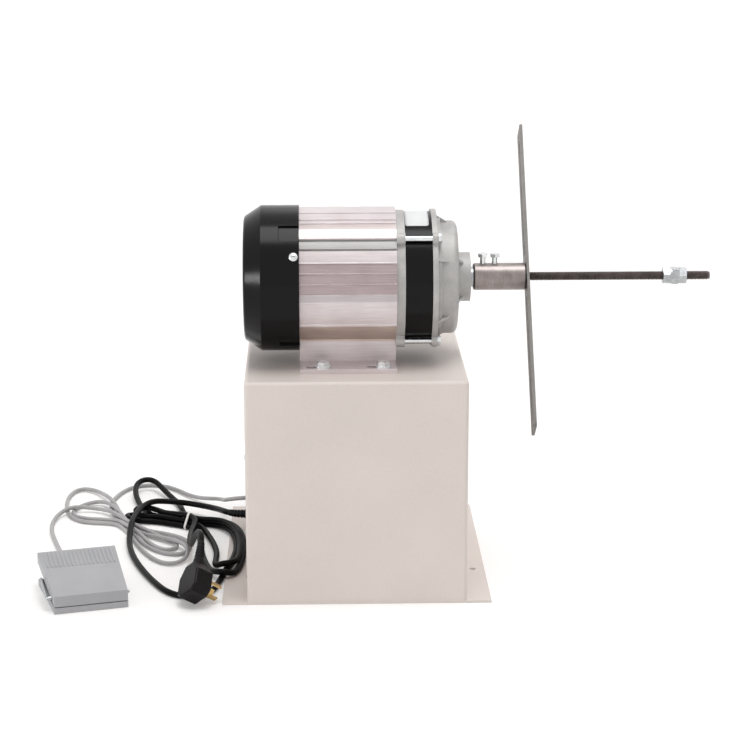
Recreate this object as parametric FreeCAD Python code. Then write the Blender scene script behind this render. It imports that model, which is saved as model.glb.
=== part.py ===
"""Bench coil winding machine: a geared motor on a sheet metal case, its winding spindle and a foot switch.

The origin is the centre of the base plate's four bolt holes, on the face that rests on the bench.
+X runs along the winding spindle, +Z is up and the control panel faces +Y. Lengths are in millimetres.
"""
import FreeCAD, Part
import math
import os

V = FreeCAD.Vector
X_AXIS = V(1, 0, 0)
Y_AXIS = V(0, 1, 0)
Z_AXIS = V(0, 0, 1)

# ---- Fits ----------------------------------------------------------------------------
RUN = 0.05            # radial clearance of a shaft that turns in its seat
LOOSE = 0.3           # clearance of a knob, key or lever that moves in its opening
SCREW_GAP = 0.2       # radial clearance of a screw in a plain hole

# ---- Case ----------------------------------------------------------------------------
CASE_W = 240.0
CASE_D = 340.0
CASE_H = 250.0        # top of the case above the bench
SHEET_T = 2.0
BEND_R = 4.0
BASE_T = 2.5
FLANGE_W = 27.0       # base plate beyond each side of the case
BASE_HOLE_D = 7.0
BASE_HOLE_PITCH_Y = 135.0
BASE_HOLE_EDGE = 13.5
LIP_H = 16.0          # upturned lips of the base plate, inside the case
PANEL_RETURN = 14.0   # inward returns of the case behind the control panel
M4_R = 2.0
M4_HEAD_R = 3.9
M4_HEAD_H = 2.6
M4_GRIP = 8.0
PANEL_SCREW_INSET = 8.0
LIP_SCREW_PITCH = 110.0

# ---- Spindle axis and motor ----------------------------------------------------------
AXIS_Y = -57.0
AXIS_H = 90.0         # spindle axis above the top of the case
MOTOR_X = -60.5       # rear end of the motor housing
MOTOR_L = 105.0
BODY_R = 76.5         # facets of the housing
BORE_R = 62.0
FOOT_HALF = 78.0
FOOT_T = 5.0
WEB_Y = 38.0          # outer faces of the two foot webs, from the axis
WEB_T = 8.0
FOOT_BOLT_X = (-35.5, 29.5)
FOOT_BOLT_Y = 67.0    # from the axis
SLOT_L = 26.0
SLOT_SHIFT = -5.0     # slot centre from its bolt
M8_R = 4.0
M8_AF = 13.0
M8_HEAD_H = 5.3
M8_WASHER_R = 9.0
M8_WASHER_T = 1.6
M8_NUT_H = 6.5

# ---- Fan cover at the rear of the motor ----------------------------------------------
COVER_R = 80.0
COVER_L = 60.5
COVER_CONE_L = 19.0
COVER_END_R = 67.5
COVER_WALL = 2.5
POCKET_ANGLES = (41.5, 138.5, 221.5, 318.5)
POCKET_L = 22.0
POCKET_ARC = 9.0
POCKET_DEPTH = 2.2
VENT_COUNT = 12
VENT_W = 5.0
VENT_R = (20.0, 55.0)
M5_R = 2.5
M5_HEAD_R = 4.7
M5_HEAD_H = 3.0
M5_GRIP = 12.0
COVER_SCREW_X = -66.5
COVER_SCREW_ANGLE = 62.5

# ---- Bearings: bore radius, outside radius, width ------------------------------------
REAR_BEARING = (7.5, 17.5, 11.0)
FRONT_BEARING = (10.0, 23.5, 14.0)
OUTPUT_BEARING = (10.0, 23.5, 14.0)
REAR_BEARING_X = -72.0
FRONT_BEARING_X = 38.5
SEAT_WALL = 4.0       # wall round a bearing
REAR_DISC_T = 9.5

# ---- Gearbox -------------------------------------------------------------------------
BRACKET_T = 9.2
BRACKET_R = 74.0
RING_R = 72.5
RING_L = 29.5
GEAR_MODULE = 2.0
SUN_TEETH = 18
PLANET_TEETH = 21
RING_TEETH = SUN_TEETH + 2 * PLANET_TEETH
PLANETS = 3
PRESSURE_DEG = 20.0
BACKLASH = 0.25       # taken off each tooth's thickness on the pitch circle
GEAR_L = 24.0
GEAR_INSET = 4.0      # gears from the face of the front bracket
PIN_R = 6.0
CARRIER_T = 8.0
CARRIER_GAP = 2.0
CARRIER_EDGE = 8.5    # carrier plate beyond the planet pins' axes
BOX_FLANGE_T = 5.8
BOX_FLANGE_R = 75.0
BOX_STEP_T = 4.0
BOX_STEP_R = 67.0
BOX_R = 62.0
BOX_L = 28.8          # gearbox cover from its seat to its end wall's face
BOX_WALL = 6.0
BOX_SHOULDER = 6.0
HUB_R = 27.0
HUB_L = 15.0
GUSSETS = 6
GUSSET_T = 3.0
GUSSET_ANGLE = 3.0
HUB_GUSSETS = 4
HUB_GUSSET_R = 36.0
TIE_ANGLES = (46.0, 144.0, 216.0, 314.0)
TIE_R = 76.5          # bolt circle of the long gearbox bolts
TIE_LUG_R = 6.5
M6_R = 3.0
M6_AF = 10.0
M6_HEAD_H = 4.0
SEAL_T = 5.0
SEAL_R = 17.5

# ---- Stator and rotor ----------------------------------------------------------------
STACK_X = -30.0
STACK_L = 50.0
AIR_GAP = 0.5
ROTOR_R = 37.0
STATOR_SLOTS = 24
STATOR_SLOT_R = (39.5, 53.0)
STATOR_SLOT_W = 4.0
END_TURN_R = (40.0, 58.0)
END_TURN_L = (15.0, 12.0)
SHAFT_FAN_R = 6.0
SHAFT_CORE_R = 9.0
SHAFT_REAR_X = -112.0
FAN_X = -107.0
FAN_L = 14.0
FAN_R = 58.0
FAN_BLADES = 7
FAN_HUB_R = 14.0
FAN_BLADE_T = 2.0

# ---- Spindle -------------------------------------------------------------------------
SHAFT_R = 10.0
COLLAR_R = 11.0
COLLAR_L = 3.7
SLEEVE_R = 15.0
SLEEVE_L = 58.0
SLEEVE_CHAMFER = 1.5
SHAFT_IN_SLEEVE = 42.0
KEY_W = 6.0
KEY_H = 6.0
KEY_L = 34.0
CLAMP_SCREW_X = (10.5, 23.5)    # from the sleeve's rear face
CLAMP_SCREW_OUT = 11.0
BAR_L = 366.0
BAR_W = 32.0
BAR_T = 3.0
BAR_LEAN = 36.8       # degrees from upright at rest
BAR_SLOT_W = 10.0
BAR_SLOT = (24.0, BAR_L / 2 - 15.0)
BAR_CORNER_R = 3.0
ROD_R = 5.0
ROD_OUT = 201.0       # winding rod beyond the bar
ROD_IN_SLEEVE = 14.0
ROD_CHAMFER = 1.0
NUT_AF = 17.0
NUT_H = 8.0
NUT_TURNS = (12.0, 38.0, 23.0)
NUT_FROM_TIP = 52.0   # first nut's face from the tip of the rod
NUT_WASHER_T = 1.8
NUT_WASHER_R = 9.2

# ---- Control panel, facing +Y: places are X and Z of each item's centre --------------
COUNTER_AT = (0.0, 185.0)
COUNTER_BEZEL = (96.0, 48.0, 7.0)
COUNTER_BODY = (90.0, 42.0, 62.0)
WINDOW_SIZE = (58.0, 24.0, 1.5)
WINDOW_X = 14.0
KEY_AT_X = -34.0
KEY_R = 5.0
KEY_OUT = 2.5
KEY_TRAVEL = 1.2
KNOB_AT = (-62.0, 98.0)
KNOB_R = 16.0
KNOB_H = 15.0
KNOB_SKIRT_R = 19.0
KNOB_SKIRT_H = 3.0
POT_R = 12.0
POT_L = 14.0
POT_BUSH_R = 4.5
POT_NUT_AF = 12.0
POT_NUT_H = 2.4
POT_SHAFT_R = 3.0
LEVER_AT = (0.0, 98.0)
LEVER_BODY = (28.0, 30.0, 26.0)
LEVER_BUSH_R = 6.0
LEVER_BUSH_OUT = 9.0
LEVER_BALL_R = 3.6
LEVER_R = 2.4
LEVER_TIP_R = 3.4
LEVER_OUT = 17.0
LEVER_SWING = 14.0
ROCKER_AT = (62.0, 98.0)
ROCKER_FRAME = (25.0, 31.0, 2.5)
ROCKER_BODY = (20.0, 27.0, 20.0)
ROCKER_SIZE = (15.0, 23.0)
ROCKER_SWING = 8.0

# ---- Driver and motor lead inside the case -------------------------------------------
DRIVER_AT = (-60.0, 110.0)      # Y and Z of its centre
DRIVER_PITCH = (120.0, 86.0)
DRIVER_PLATE = (3.0, 140.0, 106.0)
STANDOFF_L = 8.0
STANDOFF_R = 4.5
HEATSINK_H = 22.0
HEATSINK_FINS = 6
LEAD_AT = (-40.0, -40.0)
LEAD_R = 4.0
LEAD_BEND_R = 30.0
LEAD_END_X = -84.0
LEAD_Z = 120.0

# ---- Derived places ------------------------------------------------------------------
AXIS_Z = CASE_H + AXIS_H
HALF_W = CASE_W / 2
HALF_D = CASE_D / 2
BRACKET_X = MOTOR_X + MOTOR_L
RING_X = BRACKET_X + BRACKET_T
BOX_X = RING_X + RING_L
BOX_END_X = BOX_X + BOX_L
HUB_X = BOX_END_X + HUB_L
SLEEVE_X = HUB_X + 0.3 + COLLAR_L
BAR_X = SLEEVE_X + SLEEVE_L
ROD_TIP_X = BAR_X + BAR_T + ROD_OUT
NUT_X = ROD_TIP_X - NUT_FROM_TIP
GEAR_X = RING_X + GEAR_INSET
CARRIER_X = GEAR_X + GEAR_L + CARRIER_GAP
PLANET_ORBIT = GEAR_MODULE * (SUN_TEETH + PLANET_TEETH) / 2
OUTPUT_BEARING_X = HUB_X - SEAL_T - OUTPUT_BEARING[2]
PANEL_Y = HALF_D - SHEET_T
FOOT_TOP = -AXIS_H + FOOT_T

NODES = {}


# ---- Small helpers -------------------------------------------------------------------
def box(x0, x1, y0, y1, z0, z1):
    return Part.makeBox(x1 - x0, y1 - y0, z1 - z0, V(x0, y0, z0))


def cylinder(radius, start, direction, length):
    return Part.makeCylinder(radius, length, start, direction)


def on_axis(radius, x0, x1):
    """A cylinder on the spindle axis between two stations."""
    return cylinder(radius, V(x0, AXIS_Y, AXIS_Z), X_AXIS, x1 - x0)


def ring(outer, inner, x0, x1):
    return on_axis(outer, x0, x1).cut(on_axis(inner, x0 - 1, x1 + 1))


def turned(profile):
    """A solid turned about the spindle axis from (x, radius) points."""
    points = [V(x, AXIS_Y, AXIS_Z + r) for x, r in profile]
    face = Part.Face(Part.makePolygon(points + points[:1]))
    return face.revolve(V(0, AXIS_Y, AXIS_Z), X_AXIS, 360)


def around(shape, degrees):
    """Turn a shape about the spindle axis, from the top towards the rear face."""
    copy = shape.copy()
    copy.rotate(V(0, AXIS_Y, AXIS_Z), X_AXIS, degrees)
    return copy


def polar(x, radius, degrees):
    a = math.radians(degrees)
    return V(x, AXIS_Y - radius * math.sin(a), AXIS_Z + radius * math.cos(a))


def sector(r_in, r_out, t0, t1, x0, x1):
    """A piece of a ring between two angles and two stations."""
    mid = (t0 + t1) / 2
    outer = Part.Arc(polar(x0, r_out, t0), polar(x0, r_out, mid), polar(x0, r_out, t1)).toShape()
    inner = Part.Arc(polar(x0, r_in, t1), polar(x0, r_in, mid), polar(x0, r_in, t0)).toShape()
    side_a = Part.makeLine(polar(x0, r_out, t1), polar(x0, r_in, t1))
    side_b = Part.makeLine(polar(x0, r_in, t0), polar(x0, r_out, t0))
    return Part.Face(Part.Wire([outer, side_a, inner, side_b])).extrude(V(x1 - x0, 0, 0))


def hexagon(across_flats, start, direction, height, turn=0.0):
    """A hexagonal prism; its axis starts at start and runs along direction."""
    corner = across_flats / math.sqrt(3)
    points = [V(corner * math.cos(math.radians(60 * i + turn)),
                corner * math.sin(math.radians(60 * i + turn)), 0) for i in range(7)]
    prism = Part.Face(Part.makePolygon(points)).extrude(V(0, 0, height))
    prism.Placement = FreeCAD.Placement(start, FreeCAD.Rotation(Z_AXIS, direction))
    return prism


def pan_head(radius, height, start, outward):
    """A low domed screw head that sits on start and rises along outward."""
    head = cylinder(radius, V(0, 0, 0), Z_AXIS, height)
    head = head.makeFillet(height * 0.6, [edge_at_height(head, height)])
    head.Placement = FreeCAD.Placement(start, FreeCAD.Rotation(Z_AXIS, outward))
    return head


def edge_at_height(shape, z):
    """The round edge of an upright cylinder at height z."""
    return [e for e in shape.Edges if e.BoundBox.ZLength < 1e-6 and abs(e.BoundBox.ZMin - z) < 1e-6][0]


def screw(shank_r, head_r, head_h, grip, seat, outward):
    """A screw whose head sits on seat; its shank runs inwards by grip."""
    shank = cylinder(shank_r, seat, outward * -1, grip)
    return pan_head(head_r, head_h, seat, outward).fuse(shank)


def group(solids):
    return Part.makeCompound(solids)


def keep(name, shape):
    NODES[name] = shape


def involute(base_r, radius):
    """Angle of the involute of a base circle where it reaches radius."""
    c = min(1.0, base_r / radius)
    a = math.acos(c)
    return math.tan(a) - a


def gear_face(teeth, tip_r, root_r, thinner, phase):
    """The outline of a spur gear in the plane of the spindle axis; a tooth's centre is at phase degrees."""
    pitch_r = GEAR_MODULE * teeth / 2
    base_r = pitch_r * math.cos(math.radians(PRESSURE_DEG))
    half = math.pi / (2 * teeth) - thinner / (2 * pitch_r)
    low_r = max(base_r, root_r)
    stations = [low_r + (tip_r - low_r) * k / 2.0 for k in range(3)]
    flank = [(r, half + involute(base_r, pitch_r) - involute(base_r, r)) for r in stations]
    step = 2 * math.pi / teeth
    edges = []
    for i in range(teeth):
        mid = math.radians(phase) + i * step
        rise = [flat(r, mid - w) for r, w in flank]
        fall = [flat(r, mid + w) for r, w in reversed(flank)]
        foot_a = flat(root_r, mid - flank[0][1])
        foot_b = flat(root_r, mid + flank[0][1])
        foot_next = flat(root_r, mid + step - flank[0][1])
        if root_r < low_r:
            edges.append(Part.makeLine(foot_a, rise[0]))
        edges.append(Part.Arc(*rise).toShape())
        edges.append(Part.Arc(rise[2], flat(tip_r, mid), fall[0]).toShape())
        edges.append(Part.Arc(*fall).toShape())
        if root_r < low_r:
            edges.append(Part.makeLine(fall[2], foot_b))
        valley = flat(root_r, mid + step / 2)
        edges.append(Part.Arc(foot_b, valley, foot_next).toShape())
    return Part.Face(Part.Wire(edges))


def flat(radius, angle):
    """A point in the gear's plane, angle in radians from straight up towards the rear face."""
    return V(0, -radius * math.sin(angle), radius * math.cos(angle))


def gear(teeth, tip_r, root_r, thinner, x0, x1):
    """A gear on the spindle axis with a tooth at the top."""
    blank = gear_face(teeth, tip_r, root_r, thinner, 0.0).extrude(V(x1 - x0, 0, 0))
    blank.translate(V(x0, AXIS_Y, AXIS_Z))
    return blank


def corner_round(shape, radius, wanted):
    """Fillet the edges that the test picks."""
    return shape.makeFillet(radius, [e for e in shape.Edges if wanted(e)])


def runs_along(edge, axis):
    ends = edge.Vertexes[-1].Point - edge.Vertexes[0].Point
    return abs(abs(ends.normalize() * axis) - 1) < 1e-6 if ends.Length > 1e-6 else False


# ---- Case ----------------------------------------------------------------------------
LIP_SCREW_Z = BASE_T + LIP_H / 2
LIP_Y = HALF_D - 40.0
INNER_W = HALF_W - SHEET_T
INNER_TOP = CASE_H - SHEET_T
PANEL_SCREW_X = INNER_W - PANEL_SCREW_INSET
PANEL_SCREW_Z = (LIP_SCREW_Z, (BASE_T + INNER_TOP) / 2, INNER_TOP - PANEL_SCREW_INSET)
GLAND_Y = 75.0
POWER_GLAND_Z = 24.0
PEDAL_GLAND_Z = 44.0
GLAND_R = 7.0
GLAND_LIP_R = 9.0
GLAND_LIP_T = 1.6
GLAND_NOSE_L = 8.0
GLAND_TAIL_L = 12.0
GLAND_BARB = 1.0
POWER_CORD_R = 3.6
PEDAL_CORD_R = 2.6


def lip_screw_places():
    return [(side, y) for side in (-1, 1) for y in (-LIP_SCREW_PITCH, 0.0, LIP_SCREW_PITCH)]


def driver_screw_places():
    dy, dz = DRIVER_PITCH[0] / 2, DRIVER_PITCH[1] / 2
    return [(DRIVER_AT[0] + a * dy, DRIVER_AT[1] + b * dz) for a in (-1, 1) for b in (-1, 1)]


def foot_bolt_places():
    return [(x, AXIS_Y + s * FOOT_BOLT_Y) for x in FOOT_BOLT_X for s in (-1, 1)]


def base_plate():
    half = HALF_W + FLANGE_W
    plate = box(-half, half, -HALF_D, HALF_D, 0, BASE_T)
    lip_top = BASE_T + LIP_H
    for side in (-1, 1):
        x0, x1 = sorted((side * INNER_W, side * (INNER_W - SHEET_T)))
        plate = plate.fuse(box(x0, x1, -LIP_Y, LIP_Y, 0, lip_top))
    back_lip = box(-INNER_W + SHEET_T, INNER_W - SHEET_T, PANEL_Y - SHEET_T, PANEL_Y, 0, lip_top)
    plate = plate.fuse(back_lip)
    for side, y in lip_screw_places():
        start = V(side * (INNER_W + 1), y, LIP_SCREW_Z)
        plate = plate.cut(cylinder(M4_R, start, V(-side, 0, 0), SHEET_T + 2))
    for side in (-1, 1):
        start = V(side * PANEL_SCREW_X, PANEL_Y + 1, LIP_SCREW_Z)
        plate = plate.cut(cylinder(M4_R, start, V(0, -1, 0), SHEET_T + 2))
        for row in (-1, 1):
            at = V(side * (half - BASE_HOLE_EDGE), row * BASE_HOLE_PITCH_Y / 2, -1)
            plate = plate.cut(cylinder(BASE_HOLE_D / 2, at, Z_AXIS, BASE_T + 2))
    lip_x = -INNER_W + SHEET_T
    notch = box(-INNER_W - 1, lip_x + 1, GLAND_Y - 12, GLAND_Y + 12, BASE_T + SHEET_T, lip_top + 1)
    keep("base_plate", plate.cut(notch).removeSplitter())


def case_shell():
    def bent(edge, half_w, top):
        b = edge.BoundBox
        upright = runs_along(edge, Z_AXIS) and b.YMax < 0
        front_top = runs_along(edge, X_AXIS) and b.YMax < 0 and abs(b.ZMin - top) < 1e-6
        side_top = runs_along(edge, Y_AXIS) and abs(b.ZMin - top) < 1e-6
        return upright or front_top or side_top

    outer = box(-HALF_W, HALF_W, -HALF_D, HALF_D, BASE_T, CASE_H)
    outer = corner_round(outer, BEND_R, lambda e: bent(e, HALF_W, CASE_H))
    inner = box(-INNER_W, INNER_W, -HALF_D + SHEET_T, HALF_D + 1, BASE_T - 1, INNER_TOP)
    inner = corner_round(inner, BEND_R - SHEET_T, lambda e: bent(e, INNER_W, INNER_TOP))
    shell = outer.cut(inner)
    returns = box(-INNER_W, INNER_W, PANEL_Y - SHEET_T, PANEL_Y, BASE_T + LIP_H + 1, INNER_TOP)
    window = box(-INNER_W + PANEL_RETURN, INNER_W - PANEL_RETURN, 0, HALF_D, 0, INNER_TOP - PANEL_RETURN)
    shell = shell.fuse(returns.cut(window))
    for side in (-1, 1):
        for z in PANEL_SCREW_Z[1:]:
            start = V(side * PANEL_SCREW_X, PANEL_Y + 1, z)
            shell = shell.cut(cylinder(M4_R, start, V(0, -1, 0), SHEET_T + 2))
    for side, y in lip_screw_places():
        start = V(side * (HALF_W + 1), y, LIP_SCREW_Z)
        shell = shell.cut(cylinder(M4_R + SCREW_GAP, start, V(-side, 0, 0), SHEET_T + 1.5))
    for y, z in driver_screw_places():
        shell = shell.cut(cylinder(M4_R + SCREW_GAP, V(-HALF_W - 1, y, z), X_AXIS, SHEET_T + 2))
    for z in (POWER_GLAND_Z, PEDAL_GLAND_Z):
        shell = shell.cut(cylinder(GLAND_R, V(-HALF_W - 1, GLAND_Y, z), X_AXIS, SHEET_T + 2))
    for x, y in foot_bolt_places():
        shell = shell.cut(cylinder(M8_R + SCREW_GAP, V(x, y, INNER_TOP - 1), Z_AXIS, SHEET_T + 2))
    lead_hole = cylinder(LEAD_R + LOOSE, V(LEAD_AT[0], LEAD_AT[1], INNER_TOP - 1), Z_AXIS, SHEET_T + 2)
    keep("case_shell", shell.cut(lead_hole))


def panel_box(at, width, height, y0, y1):
    """A box on the control panel, centred on an (X, Z) place."""
    return box(at[0] - width / 2, at[0] + width / 2, y0, y1, at[1] - height / 2, at[1] + height / 2)


def panel_rod(at, radius, y0, y1):
    return cylinder(radius, V(at[0], y0, at[1]), Y_AXIS, y1 - y0)


def control_panel():
    gap = SCREW_GAP
    panel = box(-INNER_W + gap, INNER_W - gap, PANEL_Y, HALF_D, BASE_T + gap, INNER_TOP - gap)
    panel = corner_round(panel, BEND_R - SHEET_T + gap, lambda e: runs_along(e, Y_AXIS))
    y0, y1 = PANEL_Y - 1, HALF_D + 1
    panel = panel.cut(panel_box(COUNTER_AT, COUNTER_BODY[0] + gap, COUNTER_BODY[1] + gap, y0, y1))
    panel = panel.cut(panel_box(ROCKER_AT, ROCKER_BODY[0] + gap, ROCKER_BODY[1] + gap, y0, y1))
    panel = panel.cut(panel_rod(KNOB_AT, POT_BUSH_R + gap, y0, y1))
    panel = panel.cut(panel_rod(LEVER_AT, LEVER_BUSH_R + gap, y0, y1))
    for side in (-1, 1):
        for z in PANEL_SCREW_Z:
            panel = panel.cut(panel_rod((side * PANEL_SCREW_X, z), M4_R + gap, y0, y1))
    keep("control_panel", panel)


def case_screws():
    screws = []
    for side in (-1, 1):
        for z in PANEL_SCREW_Z:
            seat = V(side * PANEL_SCREW_X, HALF_D, z)
            screws.append(screw(M4_R, M4_HEAD_R, M4_HEAD_H, M4_GRIP, seat, Y_AXIS))
    for side, y in lip_screw_places():
        seat = V(side * HALF_W, y, LIP_SCREW_Z)
        screws.append(screw(M4_R, M4_HEAD_R, M4_HEAD_H, M4_GRIP, seat, V(side, 0, 0)))
    for y, z in driver_screw_places():
        seat = V(-HALF_W, y, z)
        screws.append(screw(M4_R, M4_HEAD_R, M4_HEAD_H, M4_GRIP, seat, X_AXIS * -1))
    keep("case_screws", group(screws))


def gland(name, z, cord_r):
    """A rubber cord bush that snaps into the left wall and tapers along the cord."""
    wall_x = -HALF_W
    nose = Part.makeCone(cord_r + 1.6, GLAND_LIP_R - 1.0, GLAND_NOSE_L - GLAND_LIP_T,
                         V(wall_x - GLAND_NOSE_L, GLAND_Y, z), X_AXIS)
    lip = cylinder(GLAND_LIP_R, V(wall_x - GLAND_LIP_T, GLAND_Y, z), X_AXIS, GLAND_LIP_T)
    neck = cylinder(GLAND_R, V(wall_x, GLAND_Y, z), X_AXIS, SHEET_T)
    tail_x = wall_x + SHEET_T
    tail = Part.makeCone(GLAND_R + GLAND_BARB, cord_r + 2.0, GLAND_TAIL_L, V(tail_x, GLAND_Y, z), X_AXIS)
    bore_l = GLAND_NOSE_L + SHEET_T + GLAND_TAIL_L
    bore = cylinder(cord_r, V(wall_x - GLAND_NOSE_L - 1, GLAND_Y, z), X_AXIS, bore_l + 2)
    keep(name, nose.fuse([lip, neck, tail]).cut(bore))


# ---- Control panel -------------------------------------------------------------------
def counter():
    front = HALF_D + COUNTER_BEZEL[2]
    bezel = panel_box(COUNTER_AT, COUNTER_BEZEL[0], COUNTER_BEZEL[1], HALF_D, front)
    bezel = corner_round(bezel, 3.0, lambda e: runs_along(e, Y_AXIS))
    back = HALF_D - COUNTER_BODY[2]
    body = panel_box(COUNTER_AT, COUNTER_BODY[0], COUNTER_BODY[1], back, HALF_D)
    wall = 2.0
    hollow = panel_box(COUNTER_AT, COUNTER_BODY[0] - 2 * wall, COUNTER_BODY[1] - 2 * wall,
                       back + wall, HALF_D)
    window_at = (COUNTER_AT[0] + WINDOW_X, COUNTER_AT[1])
    recess = panel_box(window_at, WINDOW_SIZE[0], WINDOW_SIZE[1], front - WINDOW_SIZE[2], front + 1)
    key_at = (COUNTER_AT[0] + KEY_AT_X, COUNTER_AT[1])
    key_hole = panel_rod(key_at, KEY_R + LOOSE, HALF_D - 1, front + 1)
    keep("counter_housing", bezel.fuse(body).cut(hollow).cut(recess).cut(key_hole))
    lens = panel_box(window_at, WINDOW_SIZE[0], WINDOW_SIZE[1], front - WINDOW_SIZE[2], front)
    keep("counter_window", lens)
    key = panel_rod(key_at, KEY_R, HALF_D - 3.0, front + KEY_OUT)
    stop = panel_rod(key_at, KEY_R + 1.5, HALF_D - 3.0, HALF_D - LOOSE)
    keep("reset_key", key.fuse(stop))


def speed_control():
    body = panel_rod(KNOB_AT, POT_R, PANEL_Y - POT_L, PANEL_Y)
    bush = panel_rod(KNOB_AT, POT_BUSH_R, PANEL_Y, HALF_D + POT_NUT_H + 2.0)
    bore = panel_rod(KNOB_AT, POT_SHAFT_R + RUN, PANEL_Y - POT_L + 2.0, HALF_D + POT_NUT_H + 3.0)
    nut = hexagon(POT_NUT_AF, V(KNOB_AT[0], HALF_D, KNOB_AT[1]), Y_AXIS, POT_NUT_H)
    nut = nut.cut(panel_rod(KNOB_AT, POT_BUSH_R, HALF_D - 1, HALF_D + POT_NUT_H + 1))
    keep("speed_pot", group([body.fuse(bush).cut(bore), nut]))
    skirt_y = HALF_D + 1.0
    top_y = skirt_y + KNOB_SKIRT_H + KNOB_H
    knob = panel_rod(KNOB_AT, KNOB_SKIRT_R, skirt_y, skirt_y + KNOB_SKIRT_H)
    knob = knob.fuse(panel_rod(KNOB_AT, KNOB_R, skirt_y, top_y))
    for i in range(12):
        a = math.radians(30 * i)
        at = (KNOB_AT[0] + (KNOB_R + 0.8) * math.cos(a), KNOB_AT[1] + (KNOB_R + 0.8) * math.sin(a))
        knob = knob.cut(panel_rod(at, 2.0, skirt_y + KNOB_SKIRT_H, top_y + 1))
    nut_room = panel_rod(KNOB_AT, POT_NUT_AF / math.sqrt(3) + 1.0, skirt_y - 1, HALF_D + POT_NUT_H + 2.5)
    shaft_y = top_y - 4.0
    knob = knob.cut(nut_room)
    shaft = panel_rod(KNOB_AT, POT_SHAFT_R, PANEL_Y - POT_L + 3.0, shaft_y)
    keep("speed_knob", knob.fuse(shaft))


def direction_switch():
    pivot_y = HALF_D + 3.0
    mouth_y = HALF_D + LEVER_BUSH_OUT
    body = panel_box(LEVER_AT, LEVER_BODY[0], LEVER_BODY[1], PANEL_Y - LEVER_BODY[2], PANEL_Y)
    body = body.fuse(panel_rod(LEVER_AT, LEVER_BUSH_R, PANEL_Y, mouth_y))
    centre = V(LEVER_AT[0], pivot_y, LEVER_AT[1])
    body = body.cut(Part.makeSphere(LEVER_BALL_R + LOOSE, centre))
    rear = Part.makeCone(3.2, 8.0, 16.0, V(LEVER_AT[0], pivot_y - 1, LEVER_AT[1]), Y_AXIS * -1)
    front_l = mouth_y - pivot_y - 0.5
    front = Part.makeCone(2.9, 4.7, front_l, V(LEVER_AT[0], pivot_y + 1, LEVER_AT[1]), Y_AXIS)
    body = body.cut(rear).cut(front)
    nut = hexagon(17.0, V(LEVER_AT[0], HALF_D, LEVER_AT[1]), Y_AXIS, 2.5)
    nut = nut.cut(panel_rod(LEVER_AT, LEVER_BUSH_R, HALF_D - 1, HALF_D + 4))
    keep("direction_switch_body", group([body, nut]))
    stem = Part.makeCone(LEVER_R, LEVER_TIP_R, mouth_y + LEVER_OUT - pivot_y, centre, Y_AXIS)
    tip = Part.makeSphere(LEVER_TIP_R, V(LEVER_AT[0], mouth_y + LEVER_OUT, LEVER_AT[1]))
    tail = cylinder(1.6, centre, Y_AXIS * -1, 13.0)
    keep("direction_lever", Part.makeSphere(LEVER_BALL_R, centre).fuse([stem, tip, tail]))


def power_switch():
    front = HALF_D + ROCKER_FRAME[2]
    frame = panel_box(ROCKER_AT, ROCKER_FRAME[0], ROCKER_FRAME[1], HALF_D, front)
    frame = corner_round(frame, 2.0, lambda e: runs_along(e, Y_AXIS))
    body = panel_box(ROCKER_AT, ROCKER_BODY[0], ROCKER_BODY[1], HALF_D - ROCKER_BODY[2], HALF_D)
    well = panel_box(ROCKER_AT, ROCKER_SIZE[0], ROCKER_SIZE[1], HALF_D - ROCKER_BODY[2] + 3, front + 1)
    keep("power_switch_body", frame.fuse(body).cut(well))
    pivot_y = HALF_D - 5.0
    reach = ROCKER_SIZE[1] / 2 - LOOSE
    width = ROCKER_SIZE[0] - 2 * LOOSE
    rocker = cylinder(reach, V(ROCKER_AT[0] - width / 2, pivot_y, ROCKER_AT[1]), X_AXIS, width)
    slope = math.tan(math.radians(ROCKER_SWING))
    apex = pivot_y + reach * 0.72
    high = apex + slope * 2 * reach
    x0, x1 = ROCKER_AT[0] - width, ROCKER_AT[0] + width
    beyond = pivot_y + 4 * reach
    for s in (-1, 1):
        edge_z = ROCKER_AT[1] + s * 2 * reach
        face = [V(x0, apex, ROCKER_AT[1]), V(x0, high, edge_z), V(x0, beyond, edge_z),
                V(x0, beyond, ROCKER_AT[1])]
        above = Part.Face(Part.makePolygon(face + face[:1])).extrude(V(x1 - x0, 0, 0))
        rocker = rocker.cut(above)
    rear_cut = box(x0, x1, pivot_y - 2 * reach, pivot_y - reach * 0.45, ROCKER_AT[1] - 2 * reach,
                   ROCKER_AT[1] + 2 * reach)
    rocker = rocker.cut(rear_cut)
    rocker.rotate(V(ROCKER_AT[0], pivot_y, ROCKER_AT[1]), X_AXIS, -ROCKER_SWING)
    keep("power_rocker", rocker)


def motor_driver():
    wall_x = -INNER_W
    plate_x = wall_x + STANDOFF_L
    face_x = plate_x + DRIVER_PLATE[0]
    y, z = DRIVER_AT
    half_y, half_z = DRIVER_PLATE[1] / 2, DRIVER_PLATE[2] / 2
    solid = box(plate_x, face_x, y - half_y, y + half_y, z - half_z, z + half_z)
    for py, pz in driver_screw_places():
        solid = solid.fuse(cylinder(STANDOFF_R, V(wall_x, py, pz), X_AXIS, STANDOFF_L))
    fin_zone = half_y - 12.0
    for i in range(HEATSINK_FINS):
        fy = y - half_y + 12.0 + fin_zone * i / HEATSINK_FINS
        solid = solid.fuse(box(face_x, face_x + HEATSINK_H, fy, fy + 3.0, z - half_z, z + half_z))
    block = box(face_x, LEAD_END_X, LEAD_AT[1] - 12, LEAD_AT[1] + 12, LEAD_Z - 12, LEAD_Z + 12)
    solid = solid.fuse(block)
    for py, pz in driver_screw_places():
        solid = solid.cut(cylinder(M4_R, V(wall_x - 1, py, pz), X_AXIS, M4_GRIP))
    keep("motor_driver", solid.removeSplitter())


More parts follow.
